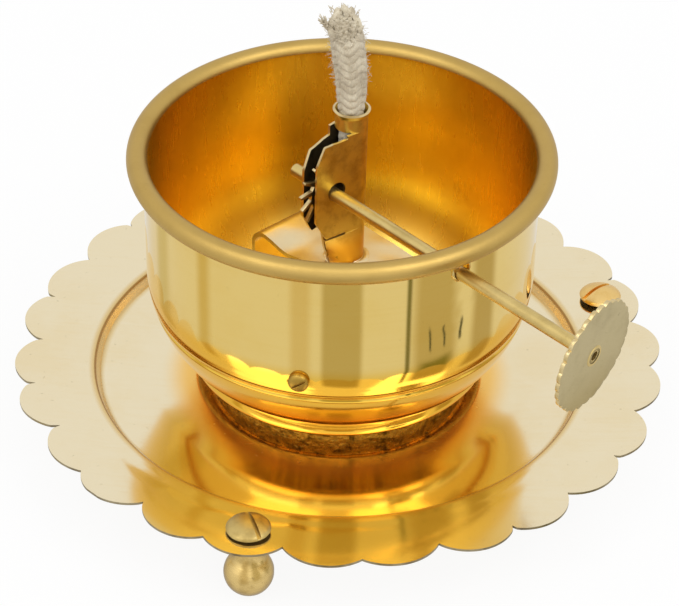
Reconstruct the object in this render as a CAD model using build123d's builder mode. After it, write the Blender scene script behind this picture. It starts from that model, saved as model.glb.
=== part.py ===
from build123d import *
import os
from math import cos, radians, sin, sqrt

# Oil lamp: a scalloped tray on ball feet, a spun bowl, and a key that winds the wick.
# Millimetres, +Z up. The origin is on the floor under the middle of the bowl, and -Y is the front.

# Sheet thicknesses
tray_sheet = 0.5
bowl_sheet = 0.8
bridge_sheet = 0.9
holder_sheet = 0.5
disc_sheet = 1.0
wheel_sheet = 0.8

# Clearances
running_gap = 0.05
wick_gap = 0.15
furrow_gap = 0.25
bolt_gap = 0.15

# Scalloped tray
tray_radius = 62.5
deep_notch_depth = 4.3
shallow_notch_depth = 2.4
lobe_pairs = 13
first_notch_angle = 11.4
edge_shift = 0.9
border_width = 15.5
well_draft = 1.2
well_step = 2.7
well_depth = 5.2
seat_radius = 24.8
seat_run = 2.3
seat_rise = 1.95
well_corner = 1.3

# Ball feet, each under a lobe of the tray
foot_bearings = {"front": 253.6, "right": 20.5, "back": 129.1}
foot_inset = 7.3
foot_height = 13.3
ball_radius = 4.6
ball_flat_radius = 1.3
neck_radius = 2.75
neck_fillet = 1.2
collar_radius = 3.4
collar_height = 1.4

# Slotted foot screws
foot_screw_radius = 2.0
foot_screw_length = 8.0
foot_head_radius = 4.1
foot_head_edge = 1.1
foot_head_dome = 1.2
foot_slot_width = 0.9
foot_slot_depth = 1.2
foot_slot_shift = 0.8
foot_slot_angles = {"front": -70.0, "right": 42.0, "back": 100.0}

# Foot ring under the bowl
ring_height = 7.4
ring_base_radius = 24.3
ring_top_radius = 25.8
ring_wall = 4.5
ring_edge = 0.8

# Bowl
bowl_radius = 36.5
lip_radius = 28.9
lip_height = 3.0
lip_draft = 0.4
lip_corner = 0.9
shoulder_height = 21.0
bead_height = 44.2
bead_radius = 1.95
bead_sweep = 295.0
groove_height = 14.7
groove_radius = 0.65
groove_depth = 0.3

# Stud that clamps the bowl and ring to the tray
stud_radius = 2.0
stud_flange_radius = 7.0
stud_flange = 1.2
stud_tip = 1.0
washer_radius = 5.5
washer_thickness = 0.8
nut_flats = 7.0
nut_height = 3.0

# Small screw and nut in the bowl wall
side_bearing = 258.8
side_height = 19.2
side_screw_radius = 1.0
side_head_radius = 1.9
side_head_height = 1.3
side_head_round = 0.6
side_slot_width = 0.45
side_slot_depth = 0.5
side_slot_angle = 35.0
side_nut_flats = 4.0
side_nut_height = 1.6
side_screw_tip = 0.8

# Bridge inside the bowl, which carries the wick holder
bridge_span = 36.6
bridge_width = 16.2
bridge_rise = 20.8
bridge_corner = 3.2
bridge_toe = 7.0
bridge_across = 1.9

# Wick holder: a rolled tube whose sides open into two cheeks
holder_along = 0.9
holder_across = 0.8
holder_height = 32.8
tube_radius = 3.05
flare = 0.5
flare_height = 1.0
ring_band = 3.6
slit = 0.6
slit_reach = 3.2
cheek_reach = 10.0
cheek_spread = 2.0
cheek_corner_run = 1.7
cheek_corner_drop = 3.8
cheek_foot = 8.3
cheek_chin = 4.4
cheek_chin_reach = 2.4
crack = 0.35
seam_shift = -1.0
seam_gap = 1.7

# Key: shaft, toothed wheel and thumb disc
key_bearing = 43.0
key_drop = 4.9
key_to_wick = 5.7
shaft_radius = 1.25
shaft_stub = 7.7
disc_distance = 68.5
shaft_hole_radius = 1.9
wheel_shift = 0.5
wheel_radius = 7.0
wheel_root_radius = 4.3
wheel_teeth = 14
first_tooth_angle = 5.0
tooth_rake = 11.0
tooth_tip = 4.0
tooth_root = 13.0
disc_radius = 10.7
disc_notch_radius = 10.15
disc_teeth = 30
disc_turn = 9.6
disc_dip = 4.7
rivet_radius = 1.65
rivet_height = 0.4
tenon_radius = 0.9
dimple_radius = 0.7
dimple_depth = 0.6

# Wick and its travel
wick_rise = 20.0
wick_tail = 12.0
wick_cut_slope = 38.0
wick_up = 20.0
wick_down = 6.0

# Heights worked out from the sizes above
border_top = foot_height + tray_sheet
well_floor = border_top - well_depth
tray_underside = well_floor - tray_sheet
bowl_base = well_floor + ring_height
bowl_floor = bowl_base + bowl_sheet
crease_height = bowl_base + lip_height
shoulder_top = bowl_base + shoulder_height
bead_centre_height = bowl_base + bead_height
shaft_height = bead_centre_height - key_drop
bridge_top = bowl_floor + bridge_rise
mouth_height = bridge_top + holder_height
wick_top = mouth_height + wick_rise
wick_bottom = bridge_top - bridge_sheet - wick_tail

# Radii worked out from the sizes above
deep_notch_radius = tray_radius - deep_notch_depth
shallow_notch_radius = tray_radius - shallow_notch_depth
well_radius = tray_radius - border_width
foot_circle_radius = tray_radius - foot_inset
crease_radius = lip_radius - lip_draft
bead_centre_radius = bowl_radius - bowl_sheet + bead_radius
lean = bowl_radius - crease_radius
drop = shoulder_top - crease_height
shoulder_radius = (lean ** 2 + drop ** 2) / (2 * lean)
tube_bore = tube_radius - holder_sheet
wick_radius = tube_bore - wick_gap

# Directions: the key points along "along", and "across" is level and square to it
along = Vector(sin(radians(key_bearing)), -cos(radians(key_bearing)), 0)
across = Vector(cos(radians(key_bearing)), sin(radians(key_bearing)), 0)
up = Vector(0, 0, 1)
front = Vector(0, -1, 0)
holder_spot = along * holder_along + across * holder_across
shaft_across = holder_across - key_to_wick
wheel_along = holder_along + wheel_shift

holder_plane = Plane(origin=holder_spot + up * bridge_top, x_dir=along, z_dir=up)
cheek_plane = Plane(origin=holder_spot + up * bridge_top, x_dir=across, z_dir=along)
bridge_plane = Plane(origin=across * bridge_across, x_dir=along, z_dir=across * -1)
key_plane = Plane(origin=across * shaft_across + up * shaft_height, x_dir=across, z_dir=along)

# The thumb disc sits a little askew on the shaft
disc_back = disc_distance - disc_sheet
disc_bearing = key_bearing + disc_turn
disc_across = Vector(cos(radians(disc_bearing)), sin(radians(disc_bearing)), 0)
disc_level = Vector(sin(radians(disc_bearing)), -cos(radians(disc_bearing)), 0)
disc_facing = disc_level * cos(radians(disc_dip)) - up * sin(radians(disc_dip))
disc_plane = Plane(origin=key_plane.origin + along * disc_back, x_dir=disc_across, z_dir=disc_facing)

# The shaft lies against one side of its holes, pushed there by the wick
rest_shift = (shaft_hole_radius - shaft_radius - running_gap) * sqrt(0.5)


def polar(radius, angle):
    """A point in the sketch plane at a radius and an angle in degrees."""
    return (radius * cos(radians(angle)), radius * sin(radians(angle)))


def scallops(tip_radius, notch_radii, pitch, start, count):
    """Lines of a scalloped edge: round lobes between notches whose radii take turns."""
    for k in range(count):
        first = polar(notch_radii[k % len(notch_radii)], start + k * pitch)
        tip = polar(tip_radius, start + (k + 0.5) * pitch)
        last = polar(notch_radii[(k + 1) % len(notch_radii)], start + (k + 1) * pitch)
        ThreePointArc(first, tip, last)


def write(part, name):
    """Name a finished piece and write it as one file."""
    part.label = name
    export_step(part, f"parts/{name}.step")


os.makedirs("parts", exist_ok=True)

# Tray: a dished sheet with a scalloped edge
lobe_count = 2 * lobe_pairs
tray_reach = tray_radius + edge_shift + tray_sheet
foot_spots = {}
for name, angle in foot_bearings.items():
    spot = Vector(*polar(foot_circle_radius, angle)) + Vector(0, edge_shift)
    foot_spots[name] = (spot.X, spot.Y)
with BuildPart() as tray:
    with BuildSketch(Plane.XZ):
        with BuildLine():
            FilletPolyline(
                (stud_radius + bolt_gap, well_floor),
                (seat_radius, well_floor),
                (seat_radius + seat_run, well_floor + seat_rise),
                (well_radius - well_draft, border_top - well_step),
                (well_radius, border_top),
                (tray_reach, border_top),
                radius=well_corner,
            )
            offset(amount=tray_sheet, side=Side.RIGHT, kind=Kind.INTERSECTION)
        make_face()
    revolve(axis=Axis.Z)
    with BuildSketch(Plane((0, edge_shift, 0))):
        with BuildLine():
            scallops(
                tray_radius,
                (deep_notch_radius, shallow_notch_radius),
                360 / lobe_count,
                first_notch_angle,
                lobe_count,
            )
        make_face()
    extrude(amount=border_top + tray_sheet, mode=Mode.INTERSECT)
    for spot in foot_spots.values():
        with Locations((*spot, border_top)):
            Hole(foot_screw_radius + bolt_gap, depth=2 * tray_sheet)
write(tray.part, "tray")

# Ball feet: a turned ball, a waisted neck and a collar under the tray, bored for the screw
ball_height = sqrt(ball_radius ** 2 - ball_flat_radius ** 2)
neck_start = ball_height + sqrt(ball_radius ** 2 - neck_radius ** 2)
for name, spot in foot_spots.items():
    with BuildPart() as foot:
        with BuildSketch(Plane(origin=(*spot, 0), x_dir=(1, 0, 0), z_dir=(0, -1, 0))):
            with BuildLine():
                Line((0, 0), (ball_flat_radius, 0))
                ThreePointArc((ball_flat_radius, 0), (ball_radius, ball_height), (neck_radius, neck_start))
                Polyline(
                    (neck_radius, neck_start),
                    (neck_radius, foot_height - collar_height),
                    (collar_radius, foot_height - collar_height / 2),
                    (collar_radius, foot_height),
                    (0, foot_height),
                    (0, 0),
                )
            make_face()
        revolve(axis=Axis((*spot, 0), (0, 0, 1)))
        neck = foot.edges().filter_by(GeomType.CIRCLE).filter_by_position(Axis.Z, neck_start, neck_start)
        fillet(neck, neck_fillet)
        with Locations((*spot, foot_height)):
            Hole(foot_screw_radius + running_gap, depth=foot_screw_length + bolt_gap)
    write(foot.part, f"foot_{name}")

# Foot screws: domed heads with a slot a little off centre
for name, spot in foot_spots.items():
    with BuildPart() as foot_screw:
        with BuildSketch(Plane(origin=(*spot, border_top), x_dir=(1, 0, 0), z_dir=(0, -1, 0))):
            with BuildLine():
                Polyline(
                    (0, foot_head_edge + foot_head_dome),
                    (0, -foot_screw_length - tray_sheet),
                    (foot_screw_radius, -foot_screw_length - tray_sheet),
                    (foot_screw_radius, 0),
                    (foot_head_radius, 0),
                    (foot_head_radius, foot_head_edge),
                )
                RadiusArc(
                    (foot_head_radius, foot_head_edge),
                    (0, foot_head_edge + foot_head_dome),
                    -(foot_head_radius ** 2 + foot_head_dome ** 2) / (2 * foot_head_dome),
                )
            make_face()
        revolve(axis=Axis((*spot, 0), (0, 0, 1)))
        head_top = border_top + foot_head_edge + foot_head_dome
        slot_plane = Plane(origin=(*spot, head_top), z_dir=(0, 0, 1)).rotated((0, 0, foot_slot_angles[name]))
        with BuildSketch(slot_plane):
            with Locations((0, foot_slot_shift)):
                Rectangle(3 * foot_head_radius, foot_slot_width)
        extrude(amount=-foot_slot_depth, mode=Mode.SUBTRACT)
    write(foot_screw.part, f"foot_screw_{name}")

# Foot ring: a rough cast ring between the tray and the bowl
with BuildPart() as foot_ring:
    with BuildSketch(Plane.XZ):
        with BuildLine():
            Polyline(
                (ring_base_radius - ring_wall, well_floor),
                (ring_base_radius, well_floor),
                (ring_top_radius, bowl_base),
                (ring_base_radius - ring_wall, bowl_base),
                close=True,
            )
        make_face()
    revolve(axis=Axis.Z)
    outer_edges = foot_ring.edges().filter_by(GeomType.CIRCLE).sort_by(SortBy.RADIUS)[-2:]
    fillet(outer_edges, ring_edge)
write(foot_ring.part, "foot_ring")

# Bowl: one spun sheet with a lip, a rounded shoulder, a straight wall and an outward curled bead
bead_end = 180 - bead_sweep
bead_centre = (bead_centre_radius, bead_centre_height)
side_point = Vector(*polar(bowl_radius, side_bearing), bowl_base + side_height)
side_out = Vector(*polar(1, side_bearing), 0)
side_plane = Plane(origin=side_point, x_dir=up.cross(side_out), z_dir=side_out)
with BuildPart() as bowl:
    with BuildSketch(Plane.XZ):
        with BuildLine():
            FilletPolyline(
                (0, bowl_base), (lip_radius, bowl_base), (crease_radius, crease_height), radius=lip_corner
            )
            RadiusArc((crease_radius, crease_height), (bowl_radius, shoulder_top), -shoulder_radius)
            Polyline(
                (bowl_radius, shoulder_top),
                (bowl_radius, bead_centre_height),
                (bowl_radius - bowl_sheet, bead_centre_height),
                (bowl_radius - bowl_sheet, shoulder_top),
            )
            inner_crease_radius = crease_radius - bowl_sheet
            inner_shoulder = shoulder_radius - bowl_sheet
            inner_lean = inner_crease_radius - (bowl_radius - shoulder_radius)
            inner_crease_height = shoulder_top - sqrt(inner_shoulder ** 2 - inner_lean ** 2)
            RadiusArc(
                (bowl_radius - bowl_sheet, shoulder_top),
                (inner_crease_radius, inner_crease_height),
                inner_shoulder,
            )
            FilletPolyline(
                (inner_crease_radius, inner_crease_height),
                (inner_crease_radius, bowl_floor),
                (0, bowl_floor),
                radius=lip_corner,
            )
            Line((0, bowl_floor), (0, bowl_base))
        make_face()
        with BuildLine():
            CenterArc(bead_centre, bead_radius, 180, -bead_sweep)
            CenterArc(bead_centre, bead_radius - bowl_sheet, 180, -bead_sweep)
            Line(
                (bead_centre_radius - bead_radius, bead_centre_height),
                (bead_centre_radius - bead_radius + bowl_sheet, bead_centre_height),
            )
            curl = Vector(*polar(1, bead_end))
            Line(
                Vector(*bead_centre) + curl * (bead_radius - bowl_sheet),
                Vector(*bead_centre) + curl * bead_radius,
            )
        make_face()
    revolve(axis=Axis.Z)
    groove_lean = shoulder_height - groove_height
    groove_surface = bowl_radius - shoulder_radius + sqrt(shoulder_radius ** 2 - groove_lean ** 2)
    with BuildSketch(Plane.XZ):
        with Locations((groove_surface + groove_radius - groove_depth, bowl_base + groove_height)):
            Circle(groove_radius)
    revolve(axis=Axis.Z, mode=Mode.SUBTRACT)
    with BuildSketch(key_plane.offset(bowl_radius - 2 * bead_radius)):
        with Locations((rest_shift, rest_shift)):
            Circle(shaft_hole_radius)
    extrude(amount=4 * bead_radius, mode=Mode.SUBTRACT)
    with BuildSketch(side_plane.offset(bowl_sheet)):
        Circle(side_screw_radius + running_gap)
    extrude(amount=-3 * bowl_sheet, mode=Mode.SUBTRACT)
write(bowl.part, "bowl")

# Stud brazed under the bowl, with a washer and a nut under the tray
stud_end = tray_underside - washer_thickness - nut_height - stud_tip
with BuildPart() as stud:
    with BuildSketch(Plane.XY.offset(stud_end)):
        Circle(stud_radius)
    extrude(amount=bowl_base - stud_end)
    with BuildSketch(Plane.XY.offset(bowl_base)):
        Circle(stud_flange_radius)
    extrude(amount=-stud_flange)
    chamfer(stud.edges().filter_by(GeomType.CIRCLE).sort_by(Axis.Z)[0], stud_radius / 4)
write(stud.part, "centre_stud")

with BuildPart() as washer:
    with BuildSketch(Plane.XY.offset(tray_underside)):
        Circle(washer_radius)
        Circle(stud_radius + bolt_gap, mode=Mode.SUBTRACT)
    extrude(amount=-washer_thickness)
write(washer.part, "centre_washer")

with BuildPart() as nut:
    with BuildSketch(Plane.XY.offset(tray_underside - washer_thickness)):
        RegularPolygon(nut_flats / 2, 6, major_radius=False)
        Circle(stud_radius + running_gap, mode=Mode.SUBTRACT)
    extrude(amount=-nut_height)
write(nut.part, "centre_nut")

# Small slotted screw through the bowl wall, with its nut inside
nut_corner = side_nut_flats / sqrt(3)
nut_lean = shoulder_height - side_height + nut_corner
wall_behind_nut = bowl_radius - shoulder_radius + sqrt(inner_shoulder ** 2 - nut_lean ** 2)
nut_inset = bowl_radius - sqrt(wall_behind_nut ** 2 - nut_corner ** 2)
with BuildPart() as side_screw:
    with BuildSketch(side_plane):
        Circle(side_head_radius)
    extrude(amount=side_head_height)
    head_edge = side_screw.edges().filter_by(GeomType.CIRCLE).sort_by(Axis(side_point, side_out))[-1]
    fillet(head_edge, side_head_round)
    with BuildSketch(side_plane):
        Circle(side_screw_radius)
    extrude(amount=-(nut_inset + side_nut_height + side_screw_tip))
    with BuildSketch(side_plane.offset(side_head_height).rotated((0, 0, side_slot_angle))):
        Rectangle(3 * side_head_radius, side_slot_width)
    extrude(amount=-side_slot_depth, mode=Mode.SUBTRACT)
write(side_screw.part, "side_screw")

with BuildPart() as side_nut:
    with BuildSketch(side_plane.offset(-nut_inset)):
        RegularPolygon(side_nut_flats / 2, 6, major_radius=False)
        Circle(side_screw_radius + running_gap, mode=Mode.SUBTRACT)
    extrude(amount=-side_nut_height)
write(side_nut.part, "side_nut")

# Bridge: a strip bent into a table with turned-in toes, holed for the wick
half_span = bridge_span / 2
with BuildPart() as bridge:
    with BuildSketch(bridge_plane):
        with BuildLine():
            FilletPolyline(
                (bridge_toe - half_span, bowl_floor),
                (-half_span, bowl_floor),
                (-half_span, bridge_top),
                (half_span, bridge_top),
                (half_span, bowl_floor),
                (half_span - bridge_toe, bowl_floor),
                radius=bridge_corner,
            )
            offset(amount=bridge_sheet, side=Side.RIGHT, kind=Kind.INTERSECTION)
        make_face()
    extrude(amount=bridge_width / 2, both=True)
    with BuildSketch(holder_plane):
        Circle(wick_radius + 2 * wick_gap)
    extrude(amount=-2 * bridge_sheet, mode=Mode.SUBTRACT)
write(bridge.part, "bridge")

# Wick holder: closed band with a flared mouth, two cheeks, and an open band at the foot
band_base = holder_height - ring_band
cheek_inner = cheek_spread - holder_sheet
with BuildPart() as holder:
    with BuildSketch(Plane(holder_plane.origin, x_dir=along, z_dir=across * -1)):
        with BuildLine():
            Polyline(
                (tube_bore, band_base),
                (tube_radius, band_base),
                (tube_radius, holder_height - flare_height),
                (tube_radius + flare, holder_height),
                (tube_bore + flare, holder_height),
                (tube_bore, holder_height - flare_height),
                close=True,
            )
        make_face()
    revolve(axis=Axis(holder_plane.origin, up))
    with BuildSketch(holder_plane.offset(cheek_foot)):
        with BuildLine():
            ThreePointArc((tube_radius, 0), (0, tube_radius), (-tube_radius, 0))
            Polyline(
                (-tube_radius, 0),
                (-cheek_spread, -cheek_reach),
                (-cheek_inner, -cheek_reach),
                (-tube_bore, 0),
            )
            ThreePointArc((-tube_bore, 0), (0, tube_bore), (tube_bore, 0))
            Polyline(
                (tube_bore, 0),
                (cheek_inner, -cheek_reach),
                (cheek_spread, -cheek_reach),
                (tube_radius, 0),
            )
        make_face()
    extrude(amount=band_base - cheek_foot)
    with BuildSketch(holder_plane):
        Circle(tube_radius)
        Circle(tube_bore, mode=Mode.SUBTRACT)
        with Locations((seam_shift, -tube_radius)):
            Rectangle(seam_gap, 2 * tube_radius, mode=Mode.SUBTRACT)
    extrude(amount=cheek_foot)
    with BuildSketch(cheek_plane):
        with BuildLine():
            top_line = band_base - slit
            Polyline(
                (-slit_reach, band_base),
                (-slit_reach, top_line),
                (cheek_corner_run - cheek_reach, top_line),
                (-cheek_reach, top_line - cheek_corner_drop),
                (-cheek_reach - slit, top_line - cheek_corner_drop),
                (-cheek_reach - slit, band_base),
                close=True,
            )
        make_face()
        with BuildLine():
            Polyline(
                (-cheek_reach - slit, cheek_foot),
                (cheek_chin_reach - cheek_reach, cheek_foot),
                (-cheek_reach, cheek_foot + cheek_chin),
                (-cheek_reach - slit, cheek_foot + cheek_chin),
                close=True,
            )
        make_face()
        with BuildLine():
            Polyline(
                (-cheek_reach, cheek_foot - crack),
                (-slit_reach, cheek_foot - crack),
                (-slit_reach, cheek_foot),
                (-cheek_reach, cheek_foot),
                close=True,
            )
        make_face()
        with Locations((rest_shift - key_to_wick, shaft_height - bridge_top + rest_shift)):
            Circle(shaft_hole_radius)
    extrude(amount=2 * tube_radius, both=True, mode=Mode.SUBTRACT)
write(holder.part, "wick_holder")

# Key shaft: a rod, cut off square to the disc, with a tenon that is riveted over it
with BuildPart() as shaft:
    with BuildSketch(key_plane.offset(-shaft_stub)):
        Circle(shaft_radius)
    extrude(amount=shaft_stub + disc_back + shaft_radius)
    split(bisect_by=disc_plane, keep=Keep.BOTTOM)
    with BuildSketch(disc_plane):
        Circle(tenon_radius)
    extrude(amount=disc_sheet)
    with BuildSketch(disc_plane.offset(disc_sheet)):
        Circle(rivet_radius)
    extrude(amount=rivet_height)
    with BuildSketch(disc_plane.offset(disc_sheet + rivet_height)):
        Circle(dimple_radius)
    extrude(amount=-dimple_depth, taper=30, mode=Mode.SUBTRACT)
write(shaft.part, "key_shaft")

# Thumb disc with a scalloped edge
with BuildPart() as disc:
    with BuildSketch(disc_plane):
        with BuildLine():
            scallops(disc_radius, (disc_notch_radius,), 360 / disc_teeth, 0, disc_teeth)
        make_face()
        Circle(tenon_radius + running_gap, mode=Mode.SUBTRACT)
    extrude(amount=disc_sheet)
write(disc.part, "key_disc")

# Toothed wheel: raked teeth that bite the wick
tooth_pitch = 360 / wheel_teeth
with BuildPart() as wheel:
    with BuildSketch(key_plane.offset(wheel_along - wheel_sheet / 2)):
        with BuildLine():
            teeth = []
            for k in range(wheel_teeth):
                start = first_tooth_angle + k * tooth_pitch
                teeth.append(polar(wheel_root_radius, start))
                teeth.append(polar(wheel_radius, start + tooth_rake))
                teeth.append(polar(wheel_radius, start + tooth_rake + tooth_tip))
                teeth.append(polar(wheel_root_radius, start + tooth_root))
            Polyline(*teeth, close=True)
        make_face()
        Circle(shaft_radius + running_gap, mode=Mode.SUBTRACT)
    extrude(amount=wheel_sheet)
write(wheel.part, "wick_wheel")

# Wick: a round cord with a slanted end and the furrow that the wheel ploughs in it
furrow_reach = wheel_radius + furrow_gap - key_to_wick
bite_half = sqrt((wheel_radius + furrow_gap) ** 2 - (key_to_wick - wick_radius) ** 2)
furrow_bottom = shaft_height - bite_half - wick_up
furrow_top = shaft_height + bite_half + wick_down
with BuildPart() as wick:
    with BuildSketch(holder_plane.offset(wick_bottom - bridge_top)):
        Circle(wick_radius)
    extrude(amount=wick_top - wick_bottom)
    cut_origin = holder_spot + up * wick_top - front * wick_radius
    cut_normal = up * cos(radians(wick_cut_slope)) + front * sin(radians(wick_cut_slope))
    split(bisect_by=Plane(origin=cut_origin, z_dir=cut_normal), keep=Keep.BOTTOM)
    with BuildSketch(cheek_plane.offset(wheel_shift)):
        with BuildLine():
            Polyline(
                (-2 * wick_radius, furrow_bottom - bridge_top),
                (furrow_reach, furrow_bottom - bridge_top),
                (furrow_reach, furrow_top - bridge_top),
                (-2 * wick_radius, furrow_top - bridge_top),
                close=True,
            )
        make_face()
    extrude(amount=wheel_sheet / 2 + furrow_gap, both=True, mode=Mode.SUBTRACT)
write(wick.part, "wick")
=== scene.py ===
import logging
import math
import random
from dataclasses import dataclass
from enum import Enum
from typing import Callable, Sequence

import bmesh
import bpy
from mathutils import Matrix, Vector, noise


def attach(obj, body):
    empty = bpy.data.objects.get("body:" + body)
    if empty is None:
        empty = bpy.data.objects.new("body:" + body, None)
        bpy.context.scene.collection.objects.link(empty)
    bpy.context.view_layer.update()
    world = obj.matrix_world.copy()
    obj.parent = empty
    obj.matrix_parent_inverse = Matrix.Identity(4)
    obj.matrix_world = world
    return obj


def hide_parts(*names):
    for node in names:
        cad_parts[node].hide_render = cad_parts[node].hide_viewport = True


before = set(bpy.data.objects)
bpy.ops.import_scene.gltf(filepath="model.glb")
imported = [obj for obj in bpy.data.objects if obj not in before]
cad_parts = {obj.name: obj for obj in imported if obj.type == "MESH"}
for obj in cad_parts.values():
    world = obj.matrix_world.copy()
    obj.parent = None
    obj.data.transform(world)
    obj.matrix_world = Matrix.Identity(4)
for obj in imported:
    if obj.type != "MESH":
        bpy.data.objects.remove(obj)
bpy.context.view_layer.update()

MM = 0.001
TURN = 2 * math.pi
WHITE = (1.0, 1.0, 1.0, 1.0)
LEVEL = (1.0, 1.0, 0.0)
PICTURE_WIDTH = 679
SHARP = 35.0
WELD = 1e-6
SLIVER = 1e-7
LOG = logging.getLogger("butter_lamp")

Colour = tuple[float, float, float]
Flat = tuple[float, float]
Spot = tuple[float, float, float]
Grid = list[list[Vector]]


class Wire:
    """An output socket that takes part in Python expressions."""

    def __init__(self, bench: "Bench", socket: bpy.types.NodeSocket) -> None:
        """Keep the socket and the bench whose nodes it belongs to."""
        self.bench = bench
        self.socket = socket

    def math(self, operation: str, *values: "Wire | float") -> "Wire":
        """Add a Math node that works on the given values."""
        return self.bench.node("ShaderNodeMath", {"operation": operation}, dict(enumerate(values)))

    def __add__(self, other: "Wire | float") -> "Wire":
        """Sum."""
        return self.math("ADD", self, other)

    def __radd__(self, other: float) -> "Wire":
        """Sum, with the number first."""
        return self.math("ADD", other, self)

    def __sub__(self, other: "Wire | float") -> "Wire":
        """Difference."""
        return self.math("SUBTRACT", self, other)

    def __rsub__(self, other: float) -> "Wire":
        """Difference, with the number first."""
        return self.math("SUBTRACT", other, self)

    def __mul__(self, other: "Wire | float") -> "Wire":
        """Product."""
        return self.math("MULTIPLY", self, other)

    def __rmul__(self, other: float) -> "Wire":
        """Product, with the number first."""
        return self.math("MULTIPLY", other, self)

    def clamped(self) -> "Wire":
        """The value held between 0 and 1."""
        return self.bench.node("ShaderNodeClamp", None, {"Value": self})

    def rise(self, low: float, high: float) -> "Wire":
        """A smooth step from 0 at low to 1 at high.

        Args:
            low: value at which the step starts.
            high: value at which the step ends.

        Returns:
            The step as a wire.
        """
        limits = {"Value": self, "From Min": low, "From Max": high}
        return self.bench.node("ShaderNodeMapRange", {"interpolation_type": "SMOOTHSTEP"}, limits)


class Bench:
    """The node tree of one material or world, and the one way to add a node to it."""

    def __init__(self, tree: bpy.types.NodeTree) -> None:
        """Start with an empty tree."""
        self.tree = tree
        tree.nodes.clear()

    def node(
        self,
        kind: str,
        settings: dict[str, object] | None = None,
        inputs: dict[int | str, object] | None = None,
        output: int | str = 0,
    ) -> Wire | None:
        """Add a node, set it up and feed its sockets.

        Args:
            kind: the node's type.
            settings: properties of the node, which are set first.
            inputs: values or wires for its input sockets.
            output: the output socket to hand back.

        Returns:
            The chosen output, or None on a node that has none.
        """
        made = self.tree.nodes.new(kind)
        for key, value in (settings or {}).items():
            setattr(made, key, value)
        for key, value in (inputs or {}).items():
            if isinstance(value, Wire):
                self.tree.links.new(value.socket, made.inputs[key])
            else:
                made.inputs[key].default_value = value
        return Wire(self, made.outputs[output]) if made.outputs else None

    def place(self) -> Wire:
        """The point being shaded, in millimetres in the lamp's frame."""
        metres = self.node("ShaderNodeTexCoord", None, None, "Object")
        return self.node("ShaderNodeVectorMath", {"operation": "SCALE"}, {0: metres, "Scale": 1 / MM})

    def split(self, vector: Wire) -> tuple[Wire, Wire, Wire]:
        """The three parts of a vector."""
        first = self.node("ShaderNodeSeparateXYZ", None, {0: vector})
        return tuple(Wire(self, part) for part in first.socket.node.outputs)

    def join(self, x: Wire | float, y: Wire | float, z: Wire | float) -> Wire:
        """A vector from three parts."""
        return self.node("ShaderNodeCombineXYZ", None, {0: x, 1: y, 2: z})

    def radius(self, place: Wire) -> Wire:
        """The distance of a point from the lamp's axis."""
        level = self.node("ShaderNodeVectorMath", {"operation": "MULTIPLY"}, {0: place, 1: LEVEL})
        return self.node("ShaderNodeVectorMath", {"operation": "LENGTH"}, {0: level}, "Value")

    def noise(self, vector: Wire, scale: float, detail: float = 2.0, roughness: float = 0.5) -> Wire:
        """Soft noise between 0 and 1.

        Args:
            vector: where the noise is read.
            scale: lumps for each unit of the vector.
            detail: how many finer layers are added.
            roughness: how strong the finer layers are.

        Returns:
            The noise as a wire.
        """
        inputs = {"Vector": vector, "Scale": scale, "Detail": detail, "Roughness": roughness}
        return self.node("ShaderNodeTexNoise", None, inputs)

    def blend(self, factor: Wire | float, first: Wire | Colour, second: Wire | Colour) -> Wire:
        """Mix two colours.

        Args:
            factor: 0 gives the first colour and 1 the second.
            first: a wire or a plain colour.
            second: a wire or a plain colour.

        Returns:
            The mixed colour as a wire.
        """
        ends = [end if isinstance(end, Wire) else (*end, 1.0) for end in (first, second)]
        return self.node("ShaderNodeMix", {"data_type": "RGBA"}, {0: factor, 6: ends[0], 7: ends[1]}, 2)

    def bump(self, height: Wire, depth: float, under: Wire | None = None) -> Wire:
        """A normal from a height between 0 and 1.

        Args:
            height: the height over the surface.
            depth: millimetres between height 0 and height 1.
            under: a normal that this one adds to.

        Returns:
            The normal as a wire.
        """
        inputs = {"Height": height, "Strength": 1.0, "Distance": depth * MM}
        if under:
            inputs["Normal"] = under
        return self.node("ShaderNodeBump", None, inputs)

    def merge(self, factor: Wire, first: Wire, second: Wire) -> Wire:
        """Mix two shaders: factor 0 gives the first and 1 the second."""
        return self.node("ShaderNodeMixShader", None, {0: factor, 1: first, 2: second})

    def close(self, shader: Wire, kind: str = "ShaderNodeOutputMaterial") -> None:
        """Join the finished shader to the tree's output."""
        self.node(kind, None, {"Surface": shader})


def blank(name: str) -> tuple[bpy.types.Material, Bench]:
    """A new material with an empty tree.

    Args:
        name: the material's name.

    Returns:
        The material and the bench of its tree.
    """
    material = bpy.data.materials.new(name)
    material.use_nodes = True
    return material, Bench(material.node_tree)


class Grain(Enum):
    """How the maker's marks run over a metal surface."""

    SPUN = "rings round the lamp's axis"
    ROLLED = "straight streaks along the sheet"
    RUNS = "streaks down the wall"
    DRAWN = "lines along the key"
    CAST = "pits of a sand mould"
    TURNED = "level lines of the lathe"
    FILED = "short scratches that cross"


@dataclass(frozen=True)
class Band:
    """A tinted ring round the lamp's axis, with soft sides; on the tray two of them are painted shade at
    the well's step.
    """

    inner: float
    outer: float
    soft: float
    tint: Colour
    dulling: float
    wander: float

    def share(self, level: Wire, cloud: Wire) -> Wire:
        """How much of the band's tint lies at a place.

        Args:
            level: the place's distance from the axis.
            cloud: noise between 0 and 1 that makes the sides wander.

        Returns:
            The share from 0 to 1 as a wire.
        """
        radius = level + (cloud - 0.5) * self.wander
        start = radius.rise(self.inner - self.soft, self.inner + self.soft)
        return start * radius.rise(self.outer + self.soft, self.outer - self.soft)


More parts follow.
